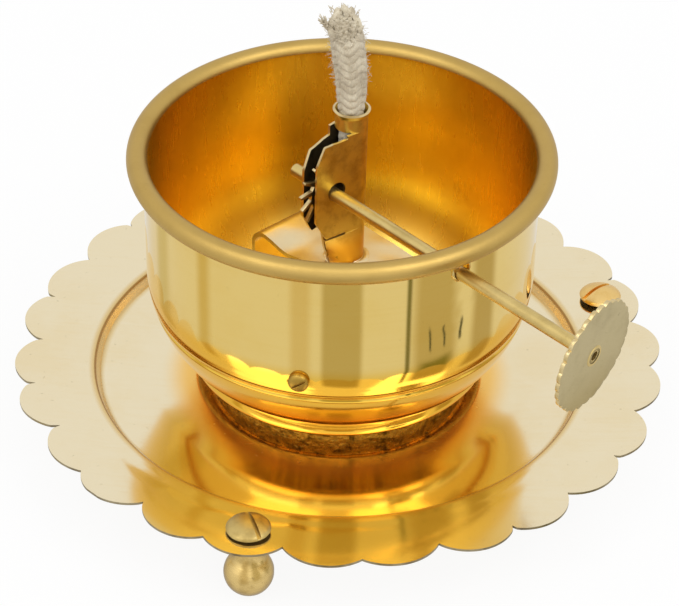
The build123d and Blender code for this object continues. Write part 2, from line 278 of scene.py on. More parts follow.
@dataclass(frozen=True)
class Brass:
    """A brass finish: its colour, its gloss, the marks left on it, and on some finishes light and shade
    painted into its colour.
    """

    name: str
    colour: Colour
    # Darker colour of the stains and pits, also used for the painted shade on edges seen at a slant.
    stain_and_shade: Colour
    roughness: float
    grain: Grain
    depth: float
    gloss_spread: float = 0.06
    stain_amount: float = 0.35
    stain_size: float = 14.0
    pits: float = 0.0
    # How strongly edges seen at a slant are darkened: painted shade.
    painted_rim_shade: float = 0.0
    # Tint towards the bottom: a painted reflection on the bowl's outside, painted light inside the bowl,
    # and a darker orange low on the holder.
    low_tint_and_light: tuple[float, float, Colour] | None = None
    bands: tuple[Band, ...] = ()

    def marks(self, bench: Bench, place: Wire) -> Wire:
        """The height of the marks over the surface, from 0 to 1.

        Args:
            bench: the material's bench.
            place: the point being shaded, in millimetres.

        Returns:
            The height as a wire.
        """
        x, y, z = bench.split(place)
        if self.grain in (Grain.SPUN, Grain.RUNS):
            radius = bench.radius(place)
            angle = y.math("ARCTAN2", y, x)
            if self.grain is Grain.SPUN:
                return bench.noise(bench.join(radius * 1.6, angle * 1.2, z * 1.6), 1.0, 3.0, 0.6)
            return bench.noise(bench.join(angle * 26.0, z * 0.10, radius * 0.2), 1.0, 4.0, 0.6)
        if self.grain is Grain.ROLLED:
            return bench.noise(bench.join(x * 0.09, y * 1.5, z * 1.5), 1.0, 4.0, 0.62)
        if self.grain is Grain.DRAWN:
            along = x * KEY_AXES.out.x + y * KEY_AXES.out.y
            beside = x * KEY_AXES.side.x + y * KEY_AXES.side.y
            return bench.noise(bench.join(along * 0.25, beside * 4.0, z * 4.0), 1.0, 3.0, 0.6)
        if self.grain is Grain.CAST:
            return bench.noise(place, 1.1, 6.0, 0.68)
        if self.grain is Grain.TURNED:
            return bench.noise(bench.join(x * 0.25, y * 0.25, z * 4.0), 1.0, 4.0, 0.65)
        first = bench.noise(bench.join(x * 0.7, (y + z) * 3.2, z * 0.6), 1.0, 4.0, 0.7)
        second = bench.noise(bench.join((x + z) * 2.8, y * 0.6, z * 0.9), 1.0, 4.0, 0.7)
        return (first + second) * 0.5

    def material(self) -> bpy.types.Material:
        """Make the finish's material, or find it if it is made.

        Returns:
            The Blender material.
        """
        if self.name in bpy.data.materials:
            return bpy.data.materials[self.name]
        material, bench = blank(self.name)
        place = bench.place()
        marks = self.marks(bench, place)
        cloud = bench.noise(place, 1.0 / self.stain_size, 5.0, 0.62)
        speck = bench.noise(place, 0.9, 2.0, 0.5).rise(0.70, 0.78)
        stained = (cloud.rise(0.42, 0.72) * self.stain_amount + marks.rise(0.45, 0.75) * 0.12).clamped()
        colour = bench.blend(stained, self.colour, self.stain_and_shade)
        # Tint towards the bottom, which on the bowl's finishes is painted reflection and painted light.
        if self.low_tint_and_light:
            low, high, tint = self.low_tint_and_light
            colour = bench.blend(bench.split(place)[2].rise(high, low), colour, tint)
        if self.pits:
            dark = tuple(0.45 * part for part in self.stain_and_shade)
            colour = bench.blend(speck * self.pits, colour, dark)
        # Painted shade: edges seen at a slant are darkened towards the finish's darker colour.
        if self.painted_rim_shade:
            facing = bench.node("ShaderNodeLayerWeight", None, {"Blend": 0.5}, "Facing")
            colour = bench.blend(facing.rise(0.25, 0.95) * self.painted_rim_shade, colour, self.stain_and_shade)
        gloss = (marks - 0.5) * (2.0 * self.gloss_spread) + cloud * self.gloss_spread
        rough = gloss + self.roughness + speck * self.pits * 0.3
        if self.bands:
            radius = bench.radius(place)
            for band in self.bands:
                share = band.share(radius, cloud)
                colour = bench.blend(share, colour, band.tint)
                rough = rough + share * band.dulling
        normal = bench.bump(marks, self.depth)
        shader = bench.node(
            "ShaderNodeBsdfPrincipled",
            None,
            {"Base Color": colour, "Metallic": 1.0, "Roughness": rough.clamped(), "Normal": normal},
        )
        bench.close(shader)
        return material


@dataclass(frozen=True)
class Cotton:
    """Undyed cotton yarn: pale, matt and fibrous."""

    name: str
    colour: Colour
    shade: Colour
    fibre: float = 0.05

    def material(self) -> bpy.types.Material:
        """Make the yarn's material, or find it if it is made.

        Returns:
            The Blender material.
        """
        if self.name in bpy.data.materials:
            return bpy.data.materials[self.name]
        material, bench = blank(self.name)
        place = bench.place()
        x, y, z = bench.split(place)
        fuzz = bench.noise(bench.join(x * 5.0, y * 5.0, z * 2.2), 1.0, 4.0, 0.7)
        cloud = bench.noise(place, 0.35, 3.0)
        tone = (fuzz.rise(0.35, 0.65) * 0.5 + cloud.rise(0.35, 0.7) * 0.5).clamped()
        shader = bench.node(
            "ShaderNodeBsdfPrincipled",
            None,
            {
                "Base Color": bench.blend(tone, self.shade, self.colour),
                "Roughness": 0.95,
                "Specular IOR Level": 0.15,
                "Sheen Weight": 0.25,
                "Normal": bench.bump(fuzz, self.fibre),
            },
        )
        bench.close(shader)
        return material


Finish = Brass | Cotton

# Finishes of the lamp's pieces
TRAY_BRASS = Brass(
    "tray_sheet", (0.94, 0.82, 0.57), (0.90, 0.71, 0.38), 0.09, Grain.ROLLED,
    depth=0.0022, gloss_spread=0.04, stain_amount=0.35, stain_size=22.0, pits=0.25,
    bands=(
        # An orange, duller tint round the bowl's seat.
        Band(0.0, 31.5, 3.0, (1.0, 0.62, 0.17), dulling=0.15, wander=1.5),
        # Painted shade on the slope of the well's step.
        Band(45.5, 47.8, 0.6, (0.82, 0.60, 0.27), dulling=0.12, wander=0.8),
        # Painted shade: a thin dark line along the top edge of the well's step.
        Band(46.75, 47.15, 0.12, (0.48, 0.28, 0.09), dulling=0.10, wander=0.15),
    ),
)
EDGE_BRASS = Brass(
    "cut_edge", (0.42, 0.35, 0.22), (0.16, 0.12, 0.07), 0.42, Grain.FILED,
    depth=0.02, gloss_spread=0.10, stain_amount=0.8, stain_size=3.0,
)
# Painted reflection: the lower wall is tinted deeper orange, as if lit by light bounced off the tray.
BOWL_BRASS = Brass(
    "bowl_mirror", (0.88, 0.65, 0.22), (0.83, 0.56, 0.13), 0.055, Grain.SPUN,
    depth=0.0010, gloss_spread=0.02, stain_amount=0.30, stain_size=16.0, pits=0.10,
    low_tint_and_light=(35.2, 38.6, (0.87, 0.55, 0.08)),
)
# The bead's rim setting paints shade on edges seen at a slant.
BEAD_BRASS = Brass(
    "bead_satin", (0.60, 0.405, 0.12), (0.48, 0.31, 0.08), 0.38, Grain.FILED,
    depth=0.035, gloss_spread=0.08, stain_amount=0.35, stain_size=9.0, pits=0.15, painted_rim_shade=0.35,
)
# Painted light: the lower inside is tinted brighter orange.
INSIDE_BRASS = Brass(
    "bowl_inside", (0.79, 0.49, 0.038), (0.66, 0.38, 0.018), 0.26, Grain.RUNS,
    depth=0.0012, gloss_spread=0.04, stain_amount=0.50, stain_size=12.0, pits=0.15,
    low_tint_and_light=(18.0, 44.0, (1.0, 0.74, 0.16)),
)
CAST_BRASS = Brass(
    "cast_ring", (0.62, 0.40, 0.08), (0.09, 0.054, 0.01), 0.22, Grain.CAST,
    depth=0.36, gloss_spread=0.16, stain_amount=0.95, stain_size=1.6, pits=0.7,
)
# The foot's rim setting paints shade on edges seen at a slant.
TURNED_BRASS = Brass(
    "turned_foot", (0.84, 0.61, 0.24), (0.32, 0.20, 0.045), 0.22, Grain.TURNED,
    depth=0.030, gloss_spread=0.12, stain_amount=0.45, stain_size=3.0, pits=0.3, painted_rim_shade=1.0,
)
# The screw's rim setting paints shade on edges seen at a slant.
SCREW_BRASS = Brass(
    "dull_screw", (0.68, 0.51, 0.19), (0.38, 0.26, 0.08), 0.36, Grain.FILED,
    depth=0.010, gloss_spread=0.10, stain_amount=0.5, stain_size=3.5, pits=0.4, painted_rim_shade=0.5,
)
# Painted light: a lighter, glossier copy of the screw finish for the one screw that catches the light;
# its rim setting also paints shade on edges seen at a slant.
LIT_SCREW_BRASS = Brass(
    "painted_lit_screw", (0.93, 0.64, 0.24), (0.74, 0.44, 0.10), 0.26, Grain.FILED,
    depth=0.008, gloss_spread=0.08, stain_amount=0.5, stain_size=3.5, pits=0.3, painted_rim_shade=0.3,
)
# The wall screw's rim setting paints shade on edges seen at a slant.
WALL_SCREW_BRASS = Brass(
    "dark_screw", (0.50, 0.31, 0.06), (0.26, 0.15, 0.03), 0.36, Grain.FILED,
    depth=0.010, gloss_spread=0.10, stain_amount=0.5, stain_size=2.5, pits=0.4, painted_rim_shade=0.5,
)
BRIDGE_BRASS = Brass(
    "bridge_sheet", (0.90, 0.74, 0.45), (0.80, 0.58, 0.27), 0.31, Grain.ROLLED,
    depth=0.004, gloss_spread=0.05, stain_amount=0.45, stain_size=8.0, pits=0.2,
)
HOLDER_BRASS = Brass(
    "holder_sheet", (0.86, 0.64, 0.14), (0.52, 0.31, 0.05), 0.33, Grain.FILED,
    depth=0.008, gloss_spread=0.10, stain_amount=0.75, stain_size=3.5, pits=0.4,
    low_tint_and_light=(41.5, 47.0, (0.76, 0.39, 0.03)),
)
# Painted shade: the wheel is coloured dark for the shadow it sits in between the cheeks.
PAINTED_SHADE_WHEEL_BRASS = Brass(
    "wheel_sheet", (0.34, 0.23, 0.09), (0.12, 0.085, 0.04), 0.40, Grain.FILED,
    depth=0.015, gloss_spread=0.10, stain_amount=0.8, stain_size=3.0, pits=0.4,
)
BRIGHT_CUT = Brass(
    "bright_cut", (0.80, 0.64, 0.34), (0.55, 0.40, 0.16), 0.28, Grain.FILED,
    depth=0.012, gloss_spread=0.10, stain_amount=0.6, stain_size=2.5,
)
ROD_BRASS = Brass(
    "key_rod", (0.74, 0.56, 0.22), (0.48, 0.34, 0.11), 0.32, Grain.DRAWN,
    depth=0.006, gloss_spread=0.08, stain_amount=0.45, stain_size=6.0, pits=0.3,
)
DISC_BRASS = Brass(
    "thumb_disc", (0.60, 0.50, 0.27), (0.42, 0.34, 0.17), 0.40, Grain.FILED,
    depth=0.008, gloss_spread=0.08, stain_amount=0.5, stain_size=7.0, pits=0.35,
)
# Painted shade, put on the screws' undersides, the bottom of the rivet's hole and the inner face of the
# wick holder.
PAINTED_SHADE_BRASS = Brass(
    "painted_shade", (0.10, 0.075, 0.04), (0.04, 0.03, 0.015), 0.55, Grain.FILED,
    depth=0.02, gloss_spread=0.10, stain_amount=0.8, stain_size=2.0,
)
WICK_COTTON = Cotton("wick_yarn", (0.72, 0.65, 0.50), (0.46, 0.39, 0.28))


@dataclass(frozen=True)
class Axes:
    """A place on the lamp with its own level directions, in millimetres."""

    origin: Vector
    side: Vector
    rise: Vector
    out: Vector

    def at(self, side: float, rise: float, out: float) -> Vector:
        """The point at these distances along the three directions."""
        return self.origin + self.side * side + self.rise * rise + self.out * out


# Places and directions that several pieces share
KEY_BEARING = math.radians(43.0)
KEY_OUT = Vector((math.sin(KEY_BEARING), -math.cos(KEY_BEARING), 0.0))
KEY_SIDE = Vector((math.cos(KEY_BEARING), math.sin(KEY_BEARING), 0.0))
UP = Vector((0.0, 0.0, 1.0))
SHAFT_SIDE = -4.9
SHAFT_HEIGHT = 55.3
EDGE_MIDDLE = Vector((0.0, 0.9, 0.0))
BRIDGE_TOP = 37.6
KEY_AXES = Axes(KEY_SIDE * SHAFT_SIDE + UP * SHAFT_HEIGHT, KEY_SIDE, UP, KEY_OUT)
KEY_HOLE = 1.9
KEY_HOLE_SHIFT = 0.42
KEY_HOLE_AXES = Axes(KEY_AXES.at(KEY_HOLE_SHIFT, KEY_HOLE_SHIFT, 0.0), KEY_SIDE, UP, KEY_OUT)
DISC_BACK = 67.5
DISC_BEARING = math.radians(52.6)
DISC_DIP = math.radians(4.7)
DISC_SIDE = Vector((math.cos(DISC_BEARING), math.sin(DISC_BEARING), 0.0))
DISC_LEVEL = Vector((math.sin(DISC_BEARING), -math.cos(DISC_BEARING), 0.0))
DISC_OUT = DISC_LEVEL * math.cos(DISC_DIP) - UP * math.sin(DISC_DIP)
DISC_AXES = Axes(KEY_AXES.at(0.0, 0.0, DISC_BACK), DISC_SIDE, DISC_OUT.cross(DISC_SIDE), DISC_OUT)
HOLDER_OUT = 0.9
HOLDER_SIDE = 0.8
HOLDER_FOOT = KEY_OUT * HOLDER_OUT + KEY_SIDE * HOLDER_SIDE + UP * BRIDGE_TOP
HOLDER_AXES = Axes(HOLDER_FOOT, KEY_SIDE, UP, KEY_OUT)
TUBE_AXES = Axes(HOLDER_FOOT, KEY_OUT, KEY_SIDE, UP)


def polar(radius: float, angle: float, height: float = 0.0) -> Vector:
    """A point at a radius and an angle in radians round the lamp's axis."""
    return Vector((radius * math.cos(angle), radius * math.sin(angle), height))


def smooth(low: float, high: float, value: float) -> float:
    """A smooth step from 0 at low to 1 at high."""
    share = min(max((value - low) / (high - low), 0.0), 1.0)
    return share * share * (3.0 - 2.0 * share)


def wobble(*place: float) -> float:
    """Repeatable soft noise between about -1 and 1 at a place of up to three numbers."""
    return noise.noise(Vector((*place, 0.37, 0.71)[:3]))


def arc(centre: Flat, radius: float, start: float, end: float, steps: int) -> list[Flat]:
    """Points along an arc.

    Args:
        centre: the arc's centre.
        radius: its radius.
        start: its first angle in degrees.
        end: its last angle in degrees.
        steps: how many parts it is cut into.

    Returns:
        The points, both ends included.
    """
    angles = [math.radians(start + (end - start) * k / steps) for k in range(steps + 1)]
    return [(centre[0] + radius * math.cos(a), centre[1] + radius * math.sin(a)) for a in angles]


def rounded(corners: Sequence[Flat], radii: Sequence[float], steps: int = 8) -> list[Flat]:
    """A broken line whose inner corners are rounded.

    Args:
        corners: the line's points.
        radii: one radius for each inner corner.
        steps: how many parts each rounding is cut into.

    Returns:
        The points of the rounded line.
    """
    points = [corners[0]]
    for before, here, after, radius in zip(corners, corners[1:], corners[2:], radii):
        spot = Vector(here)
        back = (Vector(before) - spot).normalized()
        ahead = (Vector(after) - spot).normalized()
        half = back.angle(ahead) / 2
        reach = radius / math.tan(half)
        first, last = spot + back * reach, spot + ahead * reach
        middle = spot + (back + ahead).normalized() * (radius / math.sin(half))
        for k in range(steps + 1):
            share = k / steps
            spoke = (first - middle).lerp(last - middle, share).normalized() * radius
            points.append(tuple(middle + spoke))
    points.append(corners[-1])
    return points


def dense(points: Sequence[Flat], step: float) -> list[Flat]:
    """Fill a line with points.

    Args:
        points: the line's points.
        step: the largest distance that may be left between two points.

    Returns:
        The same line with the points added.
    """
    line = [points[0]]
    for first, last in zip(points, points[1:]):
        count = max(1, math.ceil(math.dist(first, last) / step))
        for k in range(1, count + 1):
            line.append(tuple(a + (b - a) * k / count for a, b in zip(first, last)))
    return line


def circle_through(first: Vector, second: Vector, third: Vector) -> tuple[Vector, float]:
    """The circle through three points of a level plane.

    Args:
        first: a point.
        second: a point.
        third: a point.

    Returns:
        Its centre and its radius.
    """
    a, b = second - first, third - first
    twice = 2 * (a.x * b.y - a.y * b.x)
    x = (b.y * a.length_squared - a.y * b.length_squared) / twice
    y = (a.x * b.length_squared - b.x * a.length_squared) / twice
    centre = first + Vector((x, y, 0.0))
    return centre, math.hypot(x, y)


def stand(name: str, data: bpy.types.ID) -> bpy.types.Object:
    """Put a new object in the scene.

    Args:
        name: the object's name.
        data: its mesh, lamp or camera.

    Returns:
        The object.
    """
    piece = bpy.data.objects.new(name, data)
    bpy.context.scene.collection.objects.link(piece)
    return piece


class Draft:
    """Points and faces of one piece, in millimetres, before it becomes an object."""

    def __init__(self) -> None:
        """Start empty."""
        self.points: list[Vector] = []
        self.faces: list[tuple[int, ...]] = []
        self.finish: list[int] = []

    def add(self, points: Sequence[Vector], faces: Sequence[tuple[int, ...]], finish: int = 0) -> None:
        """Add loose points and the faces between them.

        Args:
            points: new points.
            faces: faces that count from the first new point.
            finish: which of the piece's finishes the faces take.
        """
        base = len(self.points)
        self.points.extend(points)
        self.faces.extend(tuple(base + k for k in face) for face in faces)
        self.finish.extend([finish] * len(faces))

    def grid(self, rows: Grid, around: bool = False, finish: Callable[[int], int] | int = 0) -> None:
        """Add a net of four-sided faces.

        Args:
            rows: rows of points, all of one length.
            around: whether each row closes on itself.
            finish: a finish number, or a function that gives one for each row.
        """
        width = len(rows[0])
        base = len(self.points)
        for row in rows:
            self.points.extend(row)
        for i in range(len(rows) - 1):
            number = finish(i) if callable(finish) else finish
            for j in range(width if around else width - 1):
                k = (j + 1) % width
                face = (i * width + j, i * width + k, (i + 1) * width + k, (i + 1) * width + j)
                self.faces.append(tuple(base + v for v in face))
                self.finish.append(number)

    def lathe(
        self,
        profile: Sequence[Flat],
        segments: int,
        axes: Axes | None = None,
        finish: Callable[[int], int] | int = 0,
        shift: Callable[[float, float, float], float] | None = None,
    ) -> None:
        """Turn a profile round an axis.

        Args:
            profile: radius and height of each point.
            segments: how many parts a full turn has.
            axes: the axis, along its out direction; None is the lamp's own axis.
            finish: a finish number, or a function that gives one for each row.
            shift: how far a point moves outwards, from its radius, height and angle.
        """
        rows = []
        for radius, height in profile:
            row = []
            for k in range(segments):
                angle = TURN * k / segments
                far = radius + (shift(radius, height, angle) if shift and radius > 0 else 0.0)
                if axes:
                    row.append(axes.at(far * math.cos(angle), far * math.sin(angle), height))
                else:
                    row.append(polar(far, angle, height))
            rows.append(row)
        self.grid(rows, around=True, finish=finish)

    def sheet(
        self,
        rows: Grid,
        thickness: float,
        around: bool = False,
        finish: int = 0,
        edge: int = 0,
        back: int = 0,
    ) -> None:
        """Thicken a net of mid-surface points into a closed sheet.

        Args:
            rows: rows of points in the middle of the sheet.
            thickness: the sheet's thickness.
            around: whether each row closes on itself.
            finish: finish of the outer face.
            edge: finish of the cut edges.
            back: finish of the inner face.
        """
        height, width = len(rows), len(rows[0])
        outer, inner = [], []
        for i in range(height):
            outer.append([])
            inner.append([])
            for j in range(width):
                down = rows[min(i + 1, height - 1)][j] - rows[max(i - 1, 0)][j]
                if around:
                    across = rows[i][(j + 1) % width] - rows[i][j - 1]
                else:
                    across = rows[i][min(j + 1, width - 1)] - rows[i][max(j - 1, 0)]
                half = across.cross(down).normalized() * (thickness / 2)
                outer[i].append(rows[i][j] + half)
                inner[i].append(rows[i][j] - half)
        self.grid(outer, around, finish)
        self.grid(inner, around, back)
        self.grid([outer[0], inner[0]], around, edge)
        self.grid([outer[-1], inner[-1]], around, edge)
        if not around:
            self.grid([[row[0] for row in outer], [row[0] for row in inner]], finish=edge)
            self.grid([[row[-1] for row in outer], [row[-1] for row in inner]], finish=edge)

    def slab(self, outline: Sequence[Vector], across: Vector, finish: int = 0, edge: int = 0) -> None:
        """A flat plate with any outline.

        Args:
            outline: points round the plate's first face.
            across: from the first face to the second.
            finish: finish of the two faces.
            edge: finish of the edge.
        """
        count = len(outline)
        other = [point + across for point in outline]
        self.add([*outline, *other], [tuple(range(count)), tuple(range(count, 2 * count))], finish)
        self.grid([list(outline), other], around=True, finish=edge)

    def tube(
        self, path: Sequence[Vector], width: float, thick: float, sides: int, up: Sequence[Vector]
    ) -> None:
        """A closed tube of oval section along a path.

        Args:
            path: points of its middle line.
            width: size of the section across the path and the up direction.
            thick: size of the section along the up direction.
            sides: how many sides the section has.
            up: the up direction at each point.
        """
        rows = []
        for k, point in enumerate(path):
            ahead = (path[min(k + 1, len(path) - 1)] - path[max(k - 1, 0)]).normalized()
            across = ahead.cross(up[k]).normalized()
            over = across.cross(ahead)
            row = []
            for s in range(sides):
                angle = TURN * s / sides
                beside = across * (width / 2 * math.cos(angle))
                row.append(point + beside + over * (thick / 2 * math.sin(angle)))
            rows.append(row)
        base = len(self.points)
        self.grid(rows, around=True)
        last = base + (len(rows) - 1) * sides
        self.faces.append(tuple(range(base, base + sides)))
        self.faces.append(tuple(range(last, last + sides)))
        self.finish.extend([0, 0])

    def object(self, name: str, finishes: Sequence[Finish], sharp: float = SHARP) -> bpy.types.Object:
        """Make the piece's object.

        Args:
            name: the piece's name.
            finishes: its finishes, by number.
            sharp: edges that turn by more than this many degrees stay crisp.

        Returns:
            The object, in metres.
        """
        mesh = bpy.data.meshes.new(name)
        mesh.from_pydata([point * MM for point in self.points], [], self.faces)
        mesh.polygons.foreach_set("material_index", self.finish)
        for finish in finishes:
            mesh.materials.append(finish.material())
        shape = bmesh.new()
        shape.from_mesh(mesh)
        bmesh.ops.remove_doubles(shape, verts=shape.verts, dist=WELD)
        bmesh.ops.dissolve_degenerate(shape, edges=shape.edges, dist=SLIVER)
        bmesh.ops.recalc_face_normals(shape, faces=shape.faces)
        shape.to_mesh(mesh)
        shape.free()
        mesh.shade_smooth()
        mesh.set_sharp_from_angle(angle=math.radians(sharp))
        return stand(name, mesh)


def settle(piece: bpy.types.Object) -> None:
    """Apply a piece's modifiers to its mesh.

    Args:
        piece: the object to settle.
    """
    view = bpy.context.evaluated_depsgraph_get()
    mesh = bpy.data.meshes.new_from_object(piece.evaluated_get(view))
    old = piece.data
    piece.modifiers.clear()
    piece.data = mesh
    mesh.name = piece.name
    bpy.data.meshes.remove(old)
    mesh.shade_smooth()
    mesh.set_sharp_from_angle(angle=math.radians(SHARP))


def cut(piece: bpy.types.Object, cutter: bpy.types.Object) -> None:
    """Cut one closed shape out of another and throw the cutter away.

    Args:
        piece: the object that is cut.
        cutter: the shape that is taken out.
    """
    modifier = piece.modifiers.new("cut", "BOOLEAN")
    modifier.operation = "DIFFERENCE"
    modifier.solver = "EXACT"
    modifier.object = cutter
    settle(piece)
    bpy.data.objects.remove(cutter, do_unlink=True)


def soften(piece: bpy.types.Object, width: float, angle: float = 40.0) -> None:
    """Round a piece's sharp edges.

    Args:
        piece: the object to work on.
        width: width of the rounding in millimetres.
        angle: edges that turn by more than this many degrees are rounded.
    """
    modifier = piece.modifiers.new("soften", "BEVEL")
    modifier.width = width * MM
    modifier.segments = 2
    modifier.limit_method = "ANGLE"
    modifier.angle_limit = math.radians(angle)
    settle(piece)


def drill(axes: Axes, radius: float, start: float, end: float) -> bpy.types.Object:
    """A plain cylinder to cut a hole with.

    Args:
        axes: the hole's axis, along its out direction.
        radius: the hole's radius.
        start: where the cylinder starts along the axis.
        end: where it ends.

    Returns:
        The cutter.
    """
    draft = Draft()
    draft.lathe([(0.0, start), (radius, start), (radius, end), (0.0, end)], 48, axes)
    return draft.object("cutter", [BRIGHT_CUT])


def deliver(piece: bpy.types.Object, body: str, slot: str, *nodes: str) -> None:
    """Hand a finished piece to the frame.

    Args:
        piece: the object.
        body: the CAD body that it moves with.
        slot: the record's material slot; not used.
        nodes: CAD nodes that it stands for.
    """
    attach(piece, body)
    if nodes:
        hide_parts(*nodes)
    LOG.info("made %s on %s", piece.name, body)


@dataclass
class Tray:
    """The dished sheet with its scalloped edge.

    Pairs hold a radius and a height, and bends hold a bearing, a rise and a width in radians.
    """

    radius: float = 62.5
    notches: Flat = (58.2, 60.1)
    lobes: int = 26
    first_notch: float = 11.4
    sheet: float = 0.5
    hole: float = 2.15
    floor: float = 8.6
    border: float = 13.8
    foot_circle: float = 55.2
    tilt: float = 0.05
    seat: Flat = (24.8, 27.1)
    seat_rise: float = 1.95
    dip: Flat = (33.0, 10.0)
    step_foot: Flat = (45.8, 11.1)
    well: float = 47.0
    brim: float = 2.2
    roundings: tuple[float, ...] = (0.9, 1.6, 30.0, 1.3, 0.75)
    bends: tuple[tuple[float, float, float], ...] = ((-142.0, 0.75, 0.6), (-40.0, -0.45, 0.55))
    steps_per_lobe: int = 30
    border_rings: int = 22
    seed: int = 5

    def edge(self) -> list[Flat]:
        """Cut the edge by hand, lobe by lobe.

        Returns:
            Pairs of angle and radius round the edge.
        """
        marks = random.Random(self.seed)
        pitch = TURN / self.lobes
        start = math.radians(self.first_notch)
        reach = [self.notches[k % 2] + marks.uniform(-0.35, 0.35) for k in range(self.lobes)]
        slit = [max(0.0, marks.uniform(-0.5, 1.3)) for _ in range(self.lobes)]
        points = []
        for k in range(self.lobes):
            tip_radius = self.radius - marks.uniform(0.0, 0.45)
            skew = marks.uniform(-0.06, 0.06)
            first = polar(reach[k], 0.0)
            last = polar(reach[(k + 1) % self.lobes], pitch)
            tip = polar(tip_radius, pitch * (0.5 + skew))
            centre, size = circle_through(first, tip, last)
            for j in range(self.steps_per_lobe):
                share = j / self.steps_per_lobe
                way = polar(1.0, pitch * share)
                middle = centre.dot(way)
                rest = middle * middle - centre.length_squared + size * size
                far = middle + math.sqrt(max(rest, 0.0))
                beside = min(share, 1.0 - share) * pitch * self.radius
                near = slit[k] if share < 0.5 else slit[(k + 1) % self.lobes]
                far = min(far, self.radius) - near * math.exp(-((beside / 0.32) ** 2))
                points.append((start + pitch * (k + share), far))
        return points

    def height(self, spot: Vector) -> float:
        """Height of the border's top, which the maker's shears left a little uneven.

        Args:
            spot: a place on the border.

        Returns:
            The height there.
        """
        radius = math.hypot(spot.x, spot.y)
        outer = smooth(self.well, self.radius, radius)
        bent = 0.0
        for bearing, rise, width in self.bends:
            beside = (math.atan2(spot.y, spot.x) - math.radians(bearing) + math.pi) % TURN - math.pi
            bent += rise * math.exp(-((beside / width) ** 2))
        bent *= outer
        sway = 0.16 * outer * wobble(spot.x * 0.037, spot.y * 0.037, 4.0)
        return self.border + (radius - self.foot_circle) * self.tilt + bent + sway

    def profile(self) -> list[Flat]:
        """The well from the hole in the middle up to the start of the border.

        Returns:
            Pairs of radius and height.
        """
        brow = self.border + (self.well - self.foot_circle) * self.tilt
        corners = [(self.hole, self.floor), (self.seat[0], self.floor)]
        corners += [(self.seat[1], self.floor + self.seat_rise), self.dip, self.step_foot]
        corners += [(self.well, brow), (self.well + self.brim, brow + self.brim * self.tilt)]
        return dense(rounded(corners, self.roundings, 10), 0.8)

    def build(self) -> bpy.types.Object:
        """Make the tray from two nets, top and underside, joined along the cut edge.

        Returns:
            The tray's object.
        """
        edge = self.edge()
        well = self.profile()
        brim = well[-1]
        top, under = [], []
        for radius, height in well:
            top.append([polar(radius, a, height + self.dents(radius, a)) for a, _ in edge])
        for k in range(1, self.border_rings + 1):
            share = 1 - (1 - k / self.border_rings) ** 1.4
            ease = smooth(0.0, 0.25, share)
            row = []
            for angle, far in edge:
                spot = polar(brim[0], angle).lerp(EDGE_MIDDLE + polar(far, angle), share)
                row.append(spot + UP * (self.height(spot) * ease + brim[1] * (1 - ease)))
            top.append(row)
        for row in top:
            under.append([point - UP * self.sheet for point in row])
        draft = Draft()
        draft.grid(top, around=True)
        draft.grid(under, around=True)
        draft.grid([top[-1], under[-1]], around=True, finish=1)
        draft.grid([top[0], under[0]], around=True, finish=1)
        return draft.object("scalloped_tray", [TRAY_BRASS, EDGE_BRASS], sharp=40.0)

    def dents(self, radius: float, angle: float) -> float:
        """Slow unevenness of the spun floor."""
        ease = smooth(self.hole, 20.0, radius) * (1 - smooth(44.0, 46.0, radius))
        return 0.06 * ease * wobble(radius * 0.11, math.cos(angle) * 2.0, math.sin(angle) * 2.0)

    def dress(self) -> None:
        """Build the tray and hand it over."""
        deliver(self.build(), "lamp_base", "tray_brass", "tray")


